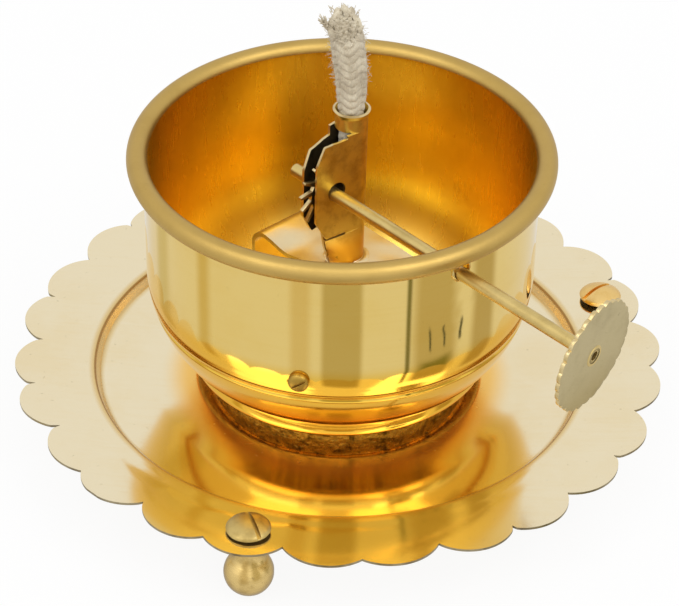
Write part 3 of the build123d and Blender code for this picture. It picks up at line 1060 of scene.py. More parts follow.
@dataclass
class Feet:
    """Turned ball feet and the slotted screws that hold them.

    Each place holds the foot's name, its bearing, the direction of its screw's slot and the screw's
    finish.
    """

    circle: float = 55.2
    height: float = 13.3
    ball: float = 4.6
    flat: float = 1.3
    neck: float = 2.75
    collar: float = 3.4
    border: float = 13.8
    head: float = 4.1
    head_edge: float = 1.1
    dome: float = 1.2
    shank: float = 2.0
    slot_width: float = 0.75
    slot_depth: float = 1.25
    slot_shift: float = 0.8
    places: tuple[tuple[str, float, float, Brass], ...] = (
        ("front", 253.6, -70.0, SCREW_BRASS),
        # The right screw takes the lighter copy of the screw finish: painted light.
        ("right", 20.5, 42.0, LIT_SCREW_BRASS),
        ("back", 129.1, 100.0, SCREW_BRASS),
    )

    def foot(self, name: str, axes: Axes) -> bpy.types.Object:
        """One foot: ball, waisted neck and collar.

        Args:
            name: which foot.
            axes: its axis, from the floor up.

        Returns:
            The foot's object.
        """
        middle = math.sqrt(self.ball**2 - self.flat**2)
        low = -math.degrees(math.acos(self.flat / self.ball))
        high = math.degrees(math.acos(self.neck / self.ball))
        profile = [(0.0, 0.0), (self.flat, 0.0)]
        profile += arc((0.0, middle), self.ball, low + 2, high - 8, 40)
        top = middle + self.ball * math.sin(math.radians(high))
        profile += [(self.neck + 0.12, top + 0.25), (self.neck, top + 0.9)]
        profile.append((self.neck, self.height - 1.5))
        profile += [(self.neck + 0.2, self.height - 1.05), (self.collar - 0.12, self.height - 0.72)]
        profile += [(self.collar, self.height - 0.6), (self.collar, self.height), (0.0, self.height)]
        draft = Draft()

        def uneven(radius: float, height: float, angle: float) -> float:
            """Dents of use, and fine rings of the lathe."""
            x, y = radius * math.cos(angle), radius * math.sin(angle)
            return 0.035 * wobble(x * 0.6, y * 0.6, height * 0.8) + 0.012 * wobble(height * 6.0, 2.0)

        draft.lathe(dense(profile, 0.35), 72, axes, shift=uneven)
        return draft.object(f"ball_foot_{name}", [TURNED_BRASS], sharp=50.0)

    def screw(self, name: str, axes: Axes, turn: float, finish: Brass) -> bpy.types.Object:
        """One domed screw with its slot.

        Args:
            name: which foot it holds.
            axes: its axis, from the floor up.
            turn: the slot's direction in degrees.
            finish: the finish of its head.

        Returns:
            The screw's object.
        """
        round_radius = (self.head**2 + self.dome**2) / (2 * self.dome)
        top = self.border + self.head_edge + self.dome
        limit = math.degrees(math.asin(self.head / round_radius))
        profile = [(0.0, self.border - 8.0), (self.shank, self.border - 8.0), (self.shank, self.border)]
        profile += [(self.head - 0.9, self.border), (self.head - 0.7, self.border + 0.35)]
        profile += [(self.head - 0.12, self.border + self.head_edge - 0.42)]
        profile += [(self.head, self.border + self.head_edge - 0.22)]
        profile += arc((0.0, top - round_radius), round_radius, 90 - limit + 3, 90, 16)
        draft = Draft()

        def uneven(radius: float, height: float, angle: float) -> float:
            """Marks of use on the head."""
            return 0.04 * wobble(radius * math.cos(angle), radius * math.sin(angle), height)

        # The shank and the underside of the head take the painted shade.
        draft.lathe(profile, 72, axes, lambda row: int(row < 5), uneven)
        piece = draft.object(f"domed_screw_{name}", [finish, PAINTED_SHADE_BRASS])
        way = math.radians(turn)
        long, short = polar(1.0, way), polar(1.0, way + math.pi / 2)
        base = axes.origin + UP * (top - self.slot_depth) + short * self.slot_shift
        signs = ((-1, -1), (1, -1), (1, 1), (-1, 1))
        corners = [long * (sx * 6.0) + short * (sy * self.slot_width / 2) for sx, sy in signs]
        slot = Draft()
        slot.slab([base + corner for corner in corners], UP * 4.0)
        cut(piece, slot.object("cutter", [SCREW_BRASS]))
        soften(piece, 0.12)
        return piece

    def dress(self) -> None:
        """Build the three feet and screws and hand them over."""
        for name, bearing, turn, finish in self.places:
            spot = EDGE_MIDDLE + polar(self.circle, math.radians(bearing))
            axes = Axes(spot, Vector((1, 0, 0)), Vector((0, 1, 0)), UP)
            deliver(self.foot(name, axes), "lamp_base", "turned_brass", f"foot_{name}")
            screw = self.screw(name, axes, turn, finish)
            deliver(screw, "lamp_base", "screw_brass", f"foot_screw_{name}")


@dataclass
class Bowl:
    """The spun bowl, its cast foot ring and the small screw in its wall.

    The groove and the dent hold a width and a depth, and the ring holds its inner, lower and upper
    radius.
    """

    base: float = 16.0
    sheet: float = 0.8
    wall: float = 36.5
    lip: float = 28.9
    lip_round: float = 1.9
    crease: Flat = (28.5, 19.0)
    shoulder: float = 37.0
    bead_height: float = 60.2
    bead: float = 1.95
    bead_sweep: float = 295.0
    groove_height: float = 30.7
    groove: Flat = (0.5, 0.36)
    dent_height: float = 48.0
    dent: Flat = (4.2, 0.10)
    burr_low: float = 228.0
    ring_floor: float = 8.6
    ring: tuple[float, float, float] = (19.8, 24.3, 25.8)
    screw_bearing: float = 258.8
    screw_height: float = 35.2
    screw_turn: float = 35.0

    def shoulder_arc(self, thickness: float) -> tuple[Flat, float]:
        """The rounding between the lip and the wall.

        Args:
            thickness: how far it is inset.

        Returns:
            Its centre and its radius.
        """
        lean, drop = self.wall - self.crease[0], self.shoulder - self.crease[1]
        radius = (lean**2 + drop**2) / (2 * lean)
        return (self.wall - radius, self.shoulder), radius - thickness

    def outside(self) -> list[Flat]:
        """The outer profile from the middle of the underside to the start of the bead.

        Returns:
            Pairs of radius and height.
        """
        centre, radius = self.shoulder_arc(0.0)
        profile = rounded([(0.0, self.base), (self.lip, self.base), self.crease], [self.lip_round], 14)
        start = math.degrees(math.asin((self.crease[1] - centre[1]) / radius))
        for r, z in arc(centre, radius, start, 0.0, 90):
            depth = self.groove[1] * math.exp(-(((z - self.groove_height) / self.groove[0]) ** 4))
            ridge = 0.03 * math.exp(-(((z - self.groove_height - 1.1) / 0.55) ** 2))
            profile.append((r - depth + ridge, z))
        profile.append((self.wall, self.bead_height))
        return dense(profile, 0.7)

    def inside(self) -> list[Flat]:
        """The inner profile from the bead down to the middle of the floor.

        Returns:
            Pairs of radius and height.
        """
        centre, radius = self.shoulder_arc(self.sheet)
        inner = self.crease[0] - self.sheet
        low = centre[1] - math.sqrt(radius**2 - (inner - centre[0]) ** 2)
        start = math.degrees(math.asin((low - centre[1]) / radius))
        profile = [(self.wall - self.sheet, self.bead_height)]
        profile += list(reversed(arc(centre, radius, start, 0.0, 40)))
        floor = self.base + self.sheet
        profile += rounded([(inner, low), (inner, floor), (0.0, floor)], [0.9])
        return dense(profile, 0.8)

    def sway(self, radius: float, height: float, angle: float) -> float:
        """How far the wall stands off true: slow waves, and a shallow dent under the key's hole.

        Args:
            radius: a point's radius.
            height: its height.
            angle: its angle in radians.

        Returns:
            The distance outwards.
        """
        if radius < 20.0:
            return 0.0
        soft = 0.03 * wobble(math.cos(angle) * 2.2, math.sin(angle) * 2.2, height * 0.05)
        spot = KEY_AXES.at(0.0, 0.0, 36.0)
        turn = math.atan2(spot.y, spot.x) - 0.03
        beside = (angle - turn + math.pi) % TURN - math.pi
        away = math.hypot(beside * self.wall, (height - self.dent_height) * 0.8)
        width, depth = self.dent
        rough = 1.0 + 0.3 * wobble(beside * 20.0, height * 0.5, 9.0)
        return soft - depth * math.exp(-((away / width) ** 2)) * rough

    def build(self) -> bpy.types.Object:
        """Make the bowl in one net: outside, curled bead and inside, each with its finish.

        Returns:
            The bowl's object.
        """
        centre = (self.wall - self.sheet + self.bead, self.bead_height)
        end = 180.0 - self.bead_sweep
        outside, inside = self.outside(), self.inside()
        curl_in = arc(centre, self.bead - self.sheet, 180.0, end, 30)
        curl_out = list(reversed(arc(centre, self.bead, 180.0, end, 56)))
        profile = outside + curl_in[1:] + curl_out + inside[1:]
        first = len(outside) + len(curl_in) - 2
        second = first + len(curl_out) - 1
        draft = Draft()
        draft.lathe(profile, 360, None, lambda row: (row >= first) + (row >= second), self.sway)
        piece = draft.object("spun_bowl", [BOWL_BRASS, BEAD_BRASS, INSIDE_BRASS], sharp=30.0)
        cut(piece, drill(KEY_HOLE_AXES, KEY_HOLE, 32.0, 40.0))
        return piece

    def burr(self) -> bpy.types.Object:
        """The torn edge that the punch left round the key's hole.

        Returns:
            The edge's object.
        """
        draft = Draft()
        rows = []
        for k in range(5):
            row = []
            for j in range(40):
                angle = TURN * j / 40
                low = smooth(0.1, 1.0, math.cos(angle - math.radians(self.burr_low)))
                ragged = 0.12 * wobble(math.cos(angle) * 3, math.sin(angle) * 3)
                reach = (0.10 + 0.75 * low + ragged) * k / 4
                radius = KEY_HOLE - 0.05 + 0.32 * low * math.sin(math.pi * k / 4) + 0.10 * k / 4
                side = KEY_HOLE_SHIFT + radius * math.cos(angle)
                rise = KEY_HOLE_SHIFT + radius * math.sin(angle)
                wall = math.sqrt(self.wall**2 - (SHAFT_SIDE + side) ** 2)
                row.append(KEY_AXES.at(side, rise, wall - 0.25 + reach))
            rows.append(row)
        draft.sheet(rows, 0.22, around=True, edge=1)
        return draft.object("torn_edge", [ROD_BRASS, BRIGHT_CUT])

    def foot_ring(self) -> bpy.types.Object:
        """The rough cast ring that the bowl stands on.

        Returns:
            The ring's object.
        """
        inner, low, high = self.ring
        floor, top = self.ring_floor, self.base
        profile = rounded([(inner, floor), (low, floor), (high, top), (inner, top)], [0.8, 0.8], 6)
        profile = dense(profile, 0.25)
        profile.append(profile[0])
        draft = Draft()

        def lumps(radius: float, height: float, angle: float) -> float:
            """Sand-cast unevenness of the outer face.

            Args:
                radius: a point's radius.
                height: its height.
                angle: its angle in radians.

            Returns:
                The distance outwards.
            """
            if radius < inner + 1.0:
                return 0.0
            x, y = radius * math.cos(angle), radius * math.sin(angle)
            ease = smooth(floor, floor + 0.5, height) * (1 - smooth(top - 0.5, top, height))
            coarse = 0.16 * wobble(x * 0.35, y * 0.35, height * 0.5)
            fine = 0.13 * wobble(x * 1.5, y * 1.5, height * 1.5)
            fine += 0.07 * wobble(x * 3.1, y * 3.1, height * 3.1)
            return (coarse + fine) * ease

        draft.lathe(profile, 420, shift=lumps)
        return draft.object("cast_foot_ring", [CAST_BRASS], sharp=60.0)

    def side_screw(self) -> bpy.types.Object:
        """The small slotted screw in the front of the wall.

        Returns:
            The screw's object.
        """
        out = polar(1.0, math.radians(self.screw_bearing))
        axes = Axes(out * self.wall + UP * self.screw_height, UP.cross(out), UP, out)
        profile = [(0.0, -3.2), (1.0, -3.2), (1.0, 0.0), (1.75, 0.0), (1.9, 0.12), (1.9, 0.55)]
        profile += [(1.82, 0.80), (1.6, 1.03), (1.2, 1.2), (0.65, 1.29), (0.0, 1.32)]
        draft = Draft()

        def uneven(radius: float, height: float, angle: float) -> float:
            """Marks of use on the head."""
            return 0.03 * wobble(math.cos(angle) * 2, math.sin(angle) * 2, height)

        draft.lathe(profile, 48, axes, shift=uneven)
        piece = draft.object("wall_screw", [WALL_SCREW_BRASS])
        turn = math.radians(self.screw_turn)
        long, short = math.cos(turn), math.sin(turn)
        corners = [(-3, -0.23), (3, -0.23), (3, 0.23), (-3, 0.23)]
        turned = [(a * long - b * short, a * short + b * long) for a, b in corners]
        slot = Draft()
        slot.slab([axes.at(a, b, 0.85) for a, b in turned], out * 2.0)
        cut(piece, slot.object("cutter", [SCREW_BRASS]))
        soften(piece, 0.06)
        return piece

    def dress(self) -> None:
        """Build the bowl's pieces and hand them over."""
        deliver(self.build(), "lamp_base", "bowl_brass", "bowl")
        deliver(self.burr(), "lamp_base", "bowl_brass")
        deliver(self.foot_ring(), "lamp_base", "cast_brass", "foot_ring")
        deliver(self.side_screw(), "lamp_base", "screw_brass", "side_screw")


@dataclass
class Bridge:
    """The bent strip in the bowl that carries the wick holder.

    The spot where its top sags holds a place along the key and a width.
    """

    half_span: float = 18.3
    sides: Flat = (-6.2, 10.0)
    sheet: float = 0.9
    floor: float = 16.8
    corner: float = 3.2
    sag: float = 1.15
    sag_spot: Flat = (-8.5, 4.2)
    toe: float = 7.0
    wick_hole: float = 2.7
    strips: int = 28

    def build(self) -> bpy.types.Object:
        """Sweep the bent line across the strip, with a little warp in its top.

        Returns:
            The bridge's object.
        """
        top = BRIDGE_TOP - self.sheet / 2
        low = self.floor + self.sheet / 2
        far = self.half_span - self.sheet / 2
        corners = [(self.toe - far, low), (-far, low), (-far, top)]
        corners += [(-out, height) for out, height in reversed(corners)]
        line = dense(rounded(corners, [self.corner] * 4, 10), 0.6)
        rows = []
        for k in range(self.strips + 1):
            side = self.sides[0] + (self.sides[1] - self.sides[0]) * k / self.strips
            row = []
            for out, height in line:
                away = math.hypot(out - HOLDER_OUT, side - HOLDER_SIDE)
                flat = smooth(top - 3.0, top, height) * smooth(3.3, 5.0, away)
                bend = 0.22 * flat * wobble(out * 0.16, side * 0.22, 3.0)
                near = smooth(2.0, self.sides[0], side) * flat
                bend -= self.sag * near * math.exp(-(((out - self.sag_spot[0]) / self.sag_spot[1]) ** 2))
                row.append(KEY_OUT * out + KEY_SIDE * side + UP * (height + bend))
            rows.append(row)
        draft = Draft()
        draft.sheet(rows, self.sheet, edge=1)
        piece = draft.object("wick_bridge", [BRIDGE_BRASS, BRIGHT_CUT], sharp=40.0)
        cut(piece, drill(TUBE_AXES, self.wick_hole, -3.0, 3.0))
        return piece

    def solder(self) -> bpy.types.Object:
        """The uneven bead of solder round the foot of the holder.

        Returns:
            The bead's object.
        """
        profile = [(3.0, -0.10), (3.0, 0.62), (3.12, 0.55), (3.3, 0.30)]
        profile += [(3.65, 0.12), (4.2, 0.02), (4.5, -0.10), (3.0, -0.10)]

        def spread(radius: float, height: float, angle: float) -> float:
            """Solder that ran further on some sides."""
            x, y = math.cos(angle), math.sin(angle)
            run = 0.55 * wobble(x * 1.3, y * 1.3, 5.0) + 0.12 * wobble(x * 6, y * 6)
            return smooth(3.05, 4.5, radius) * run

        draft = Draft()
        draft.lathe(dense(profile, 0.15), 96, TUBE_AXES, shift=spread)
        return draft.object("solder_bead", [BRIDGE_BRASS], sharp=60.0)

    def dress(self) -> None:
        """Build the bridge and its solder and hand them over."""
        deliver(self.build(), "lamp_base", "bridge_brass", "bridge")
        deliver(self.solder(), "lamp_base", "bridge_brass")


@dataclass
class Holder:
    """The rolled tube for the wick, whose sides open into two cheeks for the wheel.

    The corner and the chin hold a run and a height, and each seam holds its lower and upper end.
    """

    height: float = 32.8
    tip: float = 0.4
    outer: float = 3.05
    sheet: float = 0.5
    flare: float = 0.5
    band: float = 3.6
    slit: float = 0.6
    slit_reach: float = 3.2
    cheek_reach: float = 10.0
    cheek_spread: float = 2.0
    corner: Flat = (1.7, 3.8)
    far_drop: float = 1.4
    far_slant: float = 0.8
    foot: float = 8.3
    chin: Flat = (2.4, 4.4)
    crack: float = 0.35
    near_seam: tuple[Flat, Flat] = ((-0.5, -3.8), (1.87, -7.67))
    far_seam: tuple[Flat, Flat] = ((-2.6, -3.0), (-2.35, -5.0))

    def at(self, out: float, side: float, rise: float) -> Vector:
        """A point measured from the foot of the tube's axis."""
        return HOLDER_AXES.at(side, rise, out) + Vector((self.tip * rise / self.height, 0.0, 0.0))

    def cheek_limits(self, out: float, side: float) -> Flat:
        """Lower and upper edge of the sheet at a place on its bent line.

        Args:
            out: distance along the key from the tube's axis.
            side: distance beside the tube's axis.

        Returns:
            The two heights above the tube's foot.
        """
        ragged = 0.10 * wobble(side * 1.1, out * 0.7, 2.0)
        if side > -self.slit_reach:
            return self.foot - self.crack, self.height - self.band
        top = self.height - self.band - self.slit + ragged
        past = self.cheek_reach + side
        if out < 0.0:
            slant = smooth(-self.slit_reach, 1.5 - self.cheek_reach, side)
            top -= self.far_drop + self.far_slant * slant
        if past < self.corner[0]:
            top -= self.corner[1] * (1 - past / self.corner[0])
        low = self.foot + ragged
        if past < self.chin[0]:
            low += self.chin[1] * (1 - past / self.chin[0])
        return low, top

    def line(self) -> list[Flat]:
        """The bent line of the cheeks and the tube's back, from the near cheek round.

        Returns:
            Pairs of out and side.
        """
        mid = self.outer - self.sheet / 2
        end = self.cheek_spread - self.sheet / 2
        cheek = [(end + (mid - end) * k / 36, -self.cheek_reach * (1 - k / 36)) for k in range(36)]
        step = -self.slit_reach
        share = 1 + step / self.cheek_reach
        split = [(end + (mid - end) * share, step - 0.004), (end + (mid - end) * share, step + 0.004)]
        cheek = sorted(cheek + split, key=lambda point: point[1])
        back = arc((0.0, 0.0), mid, 0.0, 180.0, 28)
        return cheek + back + [(-out, side) for out, side in reversed(cheek)]

    def cheeks(self) -> bpy.types.Object:
        """The open middle of the tube: its back and the two cheeks, drilled for the key.

        Returns:
            The object of both cheeks.
        """
        rows = []
        count = 40
        line = self.line()
        for k in range(count + 1):
            row = []
            for out, side in line:
                low, top = self.cheek_limits(out, side)
                row.append(self.at(out, side, low + (top - low) * k / count))
            rows.append(row)
        draft = Draft()
        # The inner face takes the painted shade of the holder's shadowed inside.
        draft.sheet(rows, self.sheet, edge=1, back=2)
        piece = draft.object("wick_cheeks", [HOLDER_BRASS, BRIGHT_CUT, PAINTED_SHADE_BRASS], sharp=40.0)
        cut(piece, drill(KEY_HOLE_AXES, KEY_HOLE, -5.0, 6.0))
        return piece

    def mouth(self) -> bpy.types.Object:
        """The closed band at the top, flared at its lip.

        Returns:
            The band's object.
        """
        mid = self.outer - self.sheet / 2
        rows = []
        for k in range(19):
            rise = self.height - self.band + self.band * k / 18
            radius = mid + self.flare * smooth(self.height - 1.15, self.height + 0.25, rise)
            lip = 0.10 * smooth(self.height - 1.0, self.height, rise)
            row = []
            for j in range(72):
                angle = TURN * j / 72
                uneven = lip * wobble(math.cos(angle) * 1.7, math.sin(angle) * 1.7, 8.0)
                row.append(self.at(radius * math.cos(angle), radius * math.sin(angle), rise + uneven))
            rows.append(row)
        draft = Draft()
        draft.sheet(rows, self.sheet, around=True, edge=1)
        return draft.object("wick_mouth", [HOLDER_BRASS, BRIGHT_CUT], sharp=40.0)

    def heel_line(self, share: float) -> list[Flat]:
        """The bent line of the foot band, from the near seam round to the far one.

        Args:
            share: the share of the band's height.

        Returns:
            Pairs of out and side.
        """
        mid = self.outer - self.sheet / 2
        low, high = (Vector(end) for end in self.near_seam)
        near = low.lerp(high, share) + Vector((0.0, 0.22 * wobble(share * 4.5, 1.0)))
        low, high = (Vector(end) for end in self.far_seam)
        far = low.lerp(high, share) + Vector((0.0, 0.30 * wobble(share * 4.0, 7.0)))
        start, turn = Vector((mid, 0.0)), Vector((mid, -3.4))
        line = []
        for k in range(18):
            t = 1 - k / 18
            spot = start * (1 - t) ** 2 + turn * (2 * t * (1 - t)) + near * t**2
            line.append((spot.x, spot.y))
        line += arc((0.0, 0.0), mid, 0.0, 180.0, 30)
        for k in range(1, 11):
            spot = Vector((-mid, 0.0)).lerp(far, k / 10)
            line.append((spot.x, spot.y))
        return line

    def heel(self) -> bpy.types.Object:
        """The band at the foot, whose torn seam stands open.

        Returns:
            The band's object.
        """
        rows = []
        for k in range(25):
            rise = (self.foot - self.crack) * k / 24
            rows.append([self.at(out, side, rise) for out, side in self.heel_line(k / 24)])
        draft = Draft()
        draft.sheet(rows, self.sheet, edge=1)
        return draft.object("wick_heel", [HOLDER_BRASS, BRIGHT_CUT], sharp=40.0)

    def dress(self) -> None:
        """Build the holder and hand it over."""
        deliver(self.cheeks(), "lamp_base", "holder_brass", "wick_holder")
        deliver(self.mouth(), "lamp_base", "holder_brass")
        deliver(self.heel(), "lamp_base", "holder_brass")


@dataclass
class Key:
    """The rod, the toothed wheel and the thumb disc, which turn together."""

    rod: float = 1.25
    stub: float = 7.7
    disc_out: float = 68.5
    disc_sheet: float = 1.0
    disc_radius: float = 10.7
    disc_notch: float = 10.15
    disc_plate: float = 0.8
    disc_teeth: int = 30
    rivet_height: float = 0.4
    wheel_out: float = 1.4
    wheel_sheet: float = 0.8
    wheel_tip: float = 7.0
    wheel_root: float = 4.3
    wheel_teeth: int = 14
    first_tooth: float = 5.0
    tooth_rake: float = 11.0
    tooth_tip: float = 4.0
    tooth_root: float = 13.0
    disc_seed: int = 23
    wheel_seed: int = 31

    def shaft(self) -> bpy.types.Object:
        """The rod, chamfered at its stub, and the rivet that holds the disc.

        Returns:
            The rod's object.
        """
        back = self.disc_out - self.disc_sheet / 2
        profile = [(0.0, -self.stub), (self.rod - 0.35, -self.stub), (self.rod, 0.3 - self.stub)]
        profile += [(self.rod, back - 0.6), (0.9, back - 0.4), (0.0, back - 0.4)]
        draft = Draft()

        def uneven(radius: float, height: float, angle: float) -> float:
            """Shallow waves that the drawing die left."""
            turn = (math.cos(angle), math.sin(angle))
            return 0.03 * wobble(*turn, height * 0.25) + 0.015 * wobble(turn[0] * 3, turn[1] * 3, height)

        draft.lathe(dense(profile, 0.6), 48, KEY_AXES, shift=uneven)
        face = self.disc_sheet + self.rivet_height / 3
        rivet = [(0.0, 0.3), (0.9, 0.3), (0.9, self.disc_sheet), (2.05, self.disc_sheet)]
        rivet += [(1.95, face - 0.03), (1.75, face), (1.5, face - 0.05), (1.3, face - 0.5)]
        rivet.append((0.0, face - 0.62))
        # The sunk middle of the rivet takes the painted shade of its hole.
        draft.lathe(rivet, 48, DISC_AXES, lambda row: int(row > 5), uneven)
        return draft.object("key_rod", [ROD_BRASS, PAINTED_SHADE_BRASS])

    def disc(self) -> bpy.types.Object:
        """The thumb disc: a thin plate, a little dished, with an uneven scalloped edge.

        Returns:
            The disc's object.
        """
        marks = random.Random(self.disc_seed)
        pitch = TURN / self.disc_teeth
        notch = [self.disc_notch + marks.uniform(-0.18, 0.20) for _ in range(self.disc_teeth)]
        skew = [marks.uniform(-0.16, 0.16) for _ in range(self.disc_teeth)]
        edge = []
        steps = 10
        for k in range(self.disc_teeth):
            tip = self.disc_radius - marks.uniform(0.0, 0.25)
            for j in range(steps):
                share = j / steps
                base = notch[k] * (1 - share) + notch[(k + 1) % self.disc_teeth] * share
                far = base + (tip - base) * math.sin(math.pi * share) ** 0.7
                edge.append((pitch * (k + share + skew[k] * math.sin(math.pi * share)), far))
        rows = []
        rings = 14
        for i in range(rings + 1):
            row = []
            for angle, far in edge:
                radius = 0.95 + (far - 0.95) * i / rings
                x, y = radius * math.cos(angle), radius * math.sin(angle)
                dish = 0.10 * wobble(x * 0.16, y * 0.16, 6.0) + 0.03 * wobble(x * 0.6, y * 0.6, 2.0)
                dish *= smooth(1.7, 4.0, radius)
                row.append(DISC_AXES.at(x, y, self.disc_sheet - self.disc_plate / 2 + dish))
            rows.append(row)
        draft = Draft()
        draft.sheet(rows, self.disc_plate, around=True, edge=1)
        piece = draft.object("thumb_disc", [DISC_BRASS, BRIGHT_CUT], sharp=40.0)
        soften(piece, 0.10, angle=55.0)
        return piece

    def wheel(self) -> bpy.types.Object:
        """The toothed wheel: short raked teeth, each filed a little differently.

        Returns:
            The wheel's object.
        """
        marks = random.Random(self.wheel_seed)
        pitch = 360.0 / self.wheel_teeth
        back = self.wheel_out - self.wheel_sheet / 2
        outline = []
        for k in range(self.wheel_teeth):
            start = self.first_tooth + k * pitch + marks.uniform(-1.0, 1.0)
            tip = self.wheel_tip - marks.uniform(0.0, 0.35)
            corners = [(self.wheel_root, 0.0), (tip, self.tooth_rake)]
            corners.append((tip - 0.08, self.tooth_rake + self.tooth_tip))
            corners.append((self.wheel_root - 0.1, self.tooth_root))
            for radius, turn in corners:
                angle = math.radians(start + turn)
                outline.append(KEY_AXES.at(radius * math.cos(angle), radius * math.sin(angle), back))
        draft = Draft()
        draft.slab(outline, KEY_OUT * self.wheel_sheet, edge=1)
        # The wheel's dark finish is painted shade.
        piece = draft.object("toothed_wheel", [PAINTED_SHADE_WHEEL_BRASS, BRIGHT_CUT])
        soften(piece, 0.07, angle=30.0)
        return piece

    def dress(self) -> None:
        """Build the key's pieces and hand them over."""
        deliver(self.shaft(), "key", "key_brass", "key_shaft")
        deliver(self.disc(), "key", "disc_brass", "key_disc")
        deliver(self.wheel(), "key", "wheel_brass", "wick_wheel")


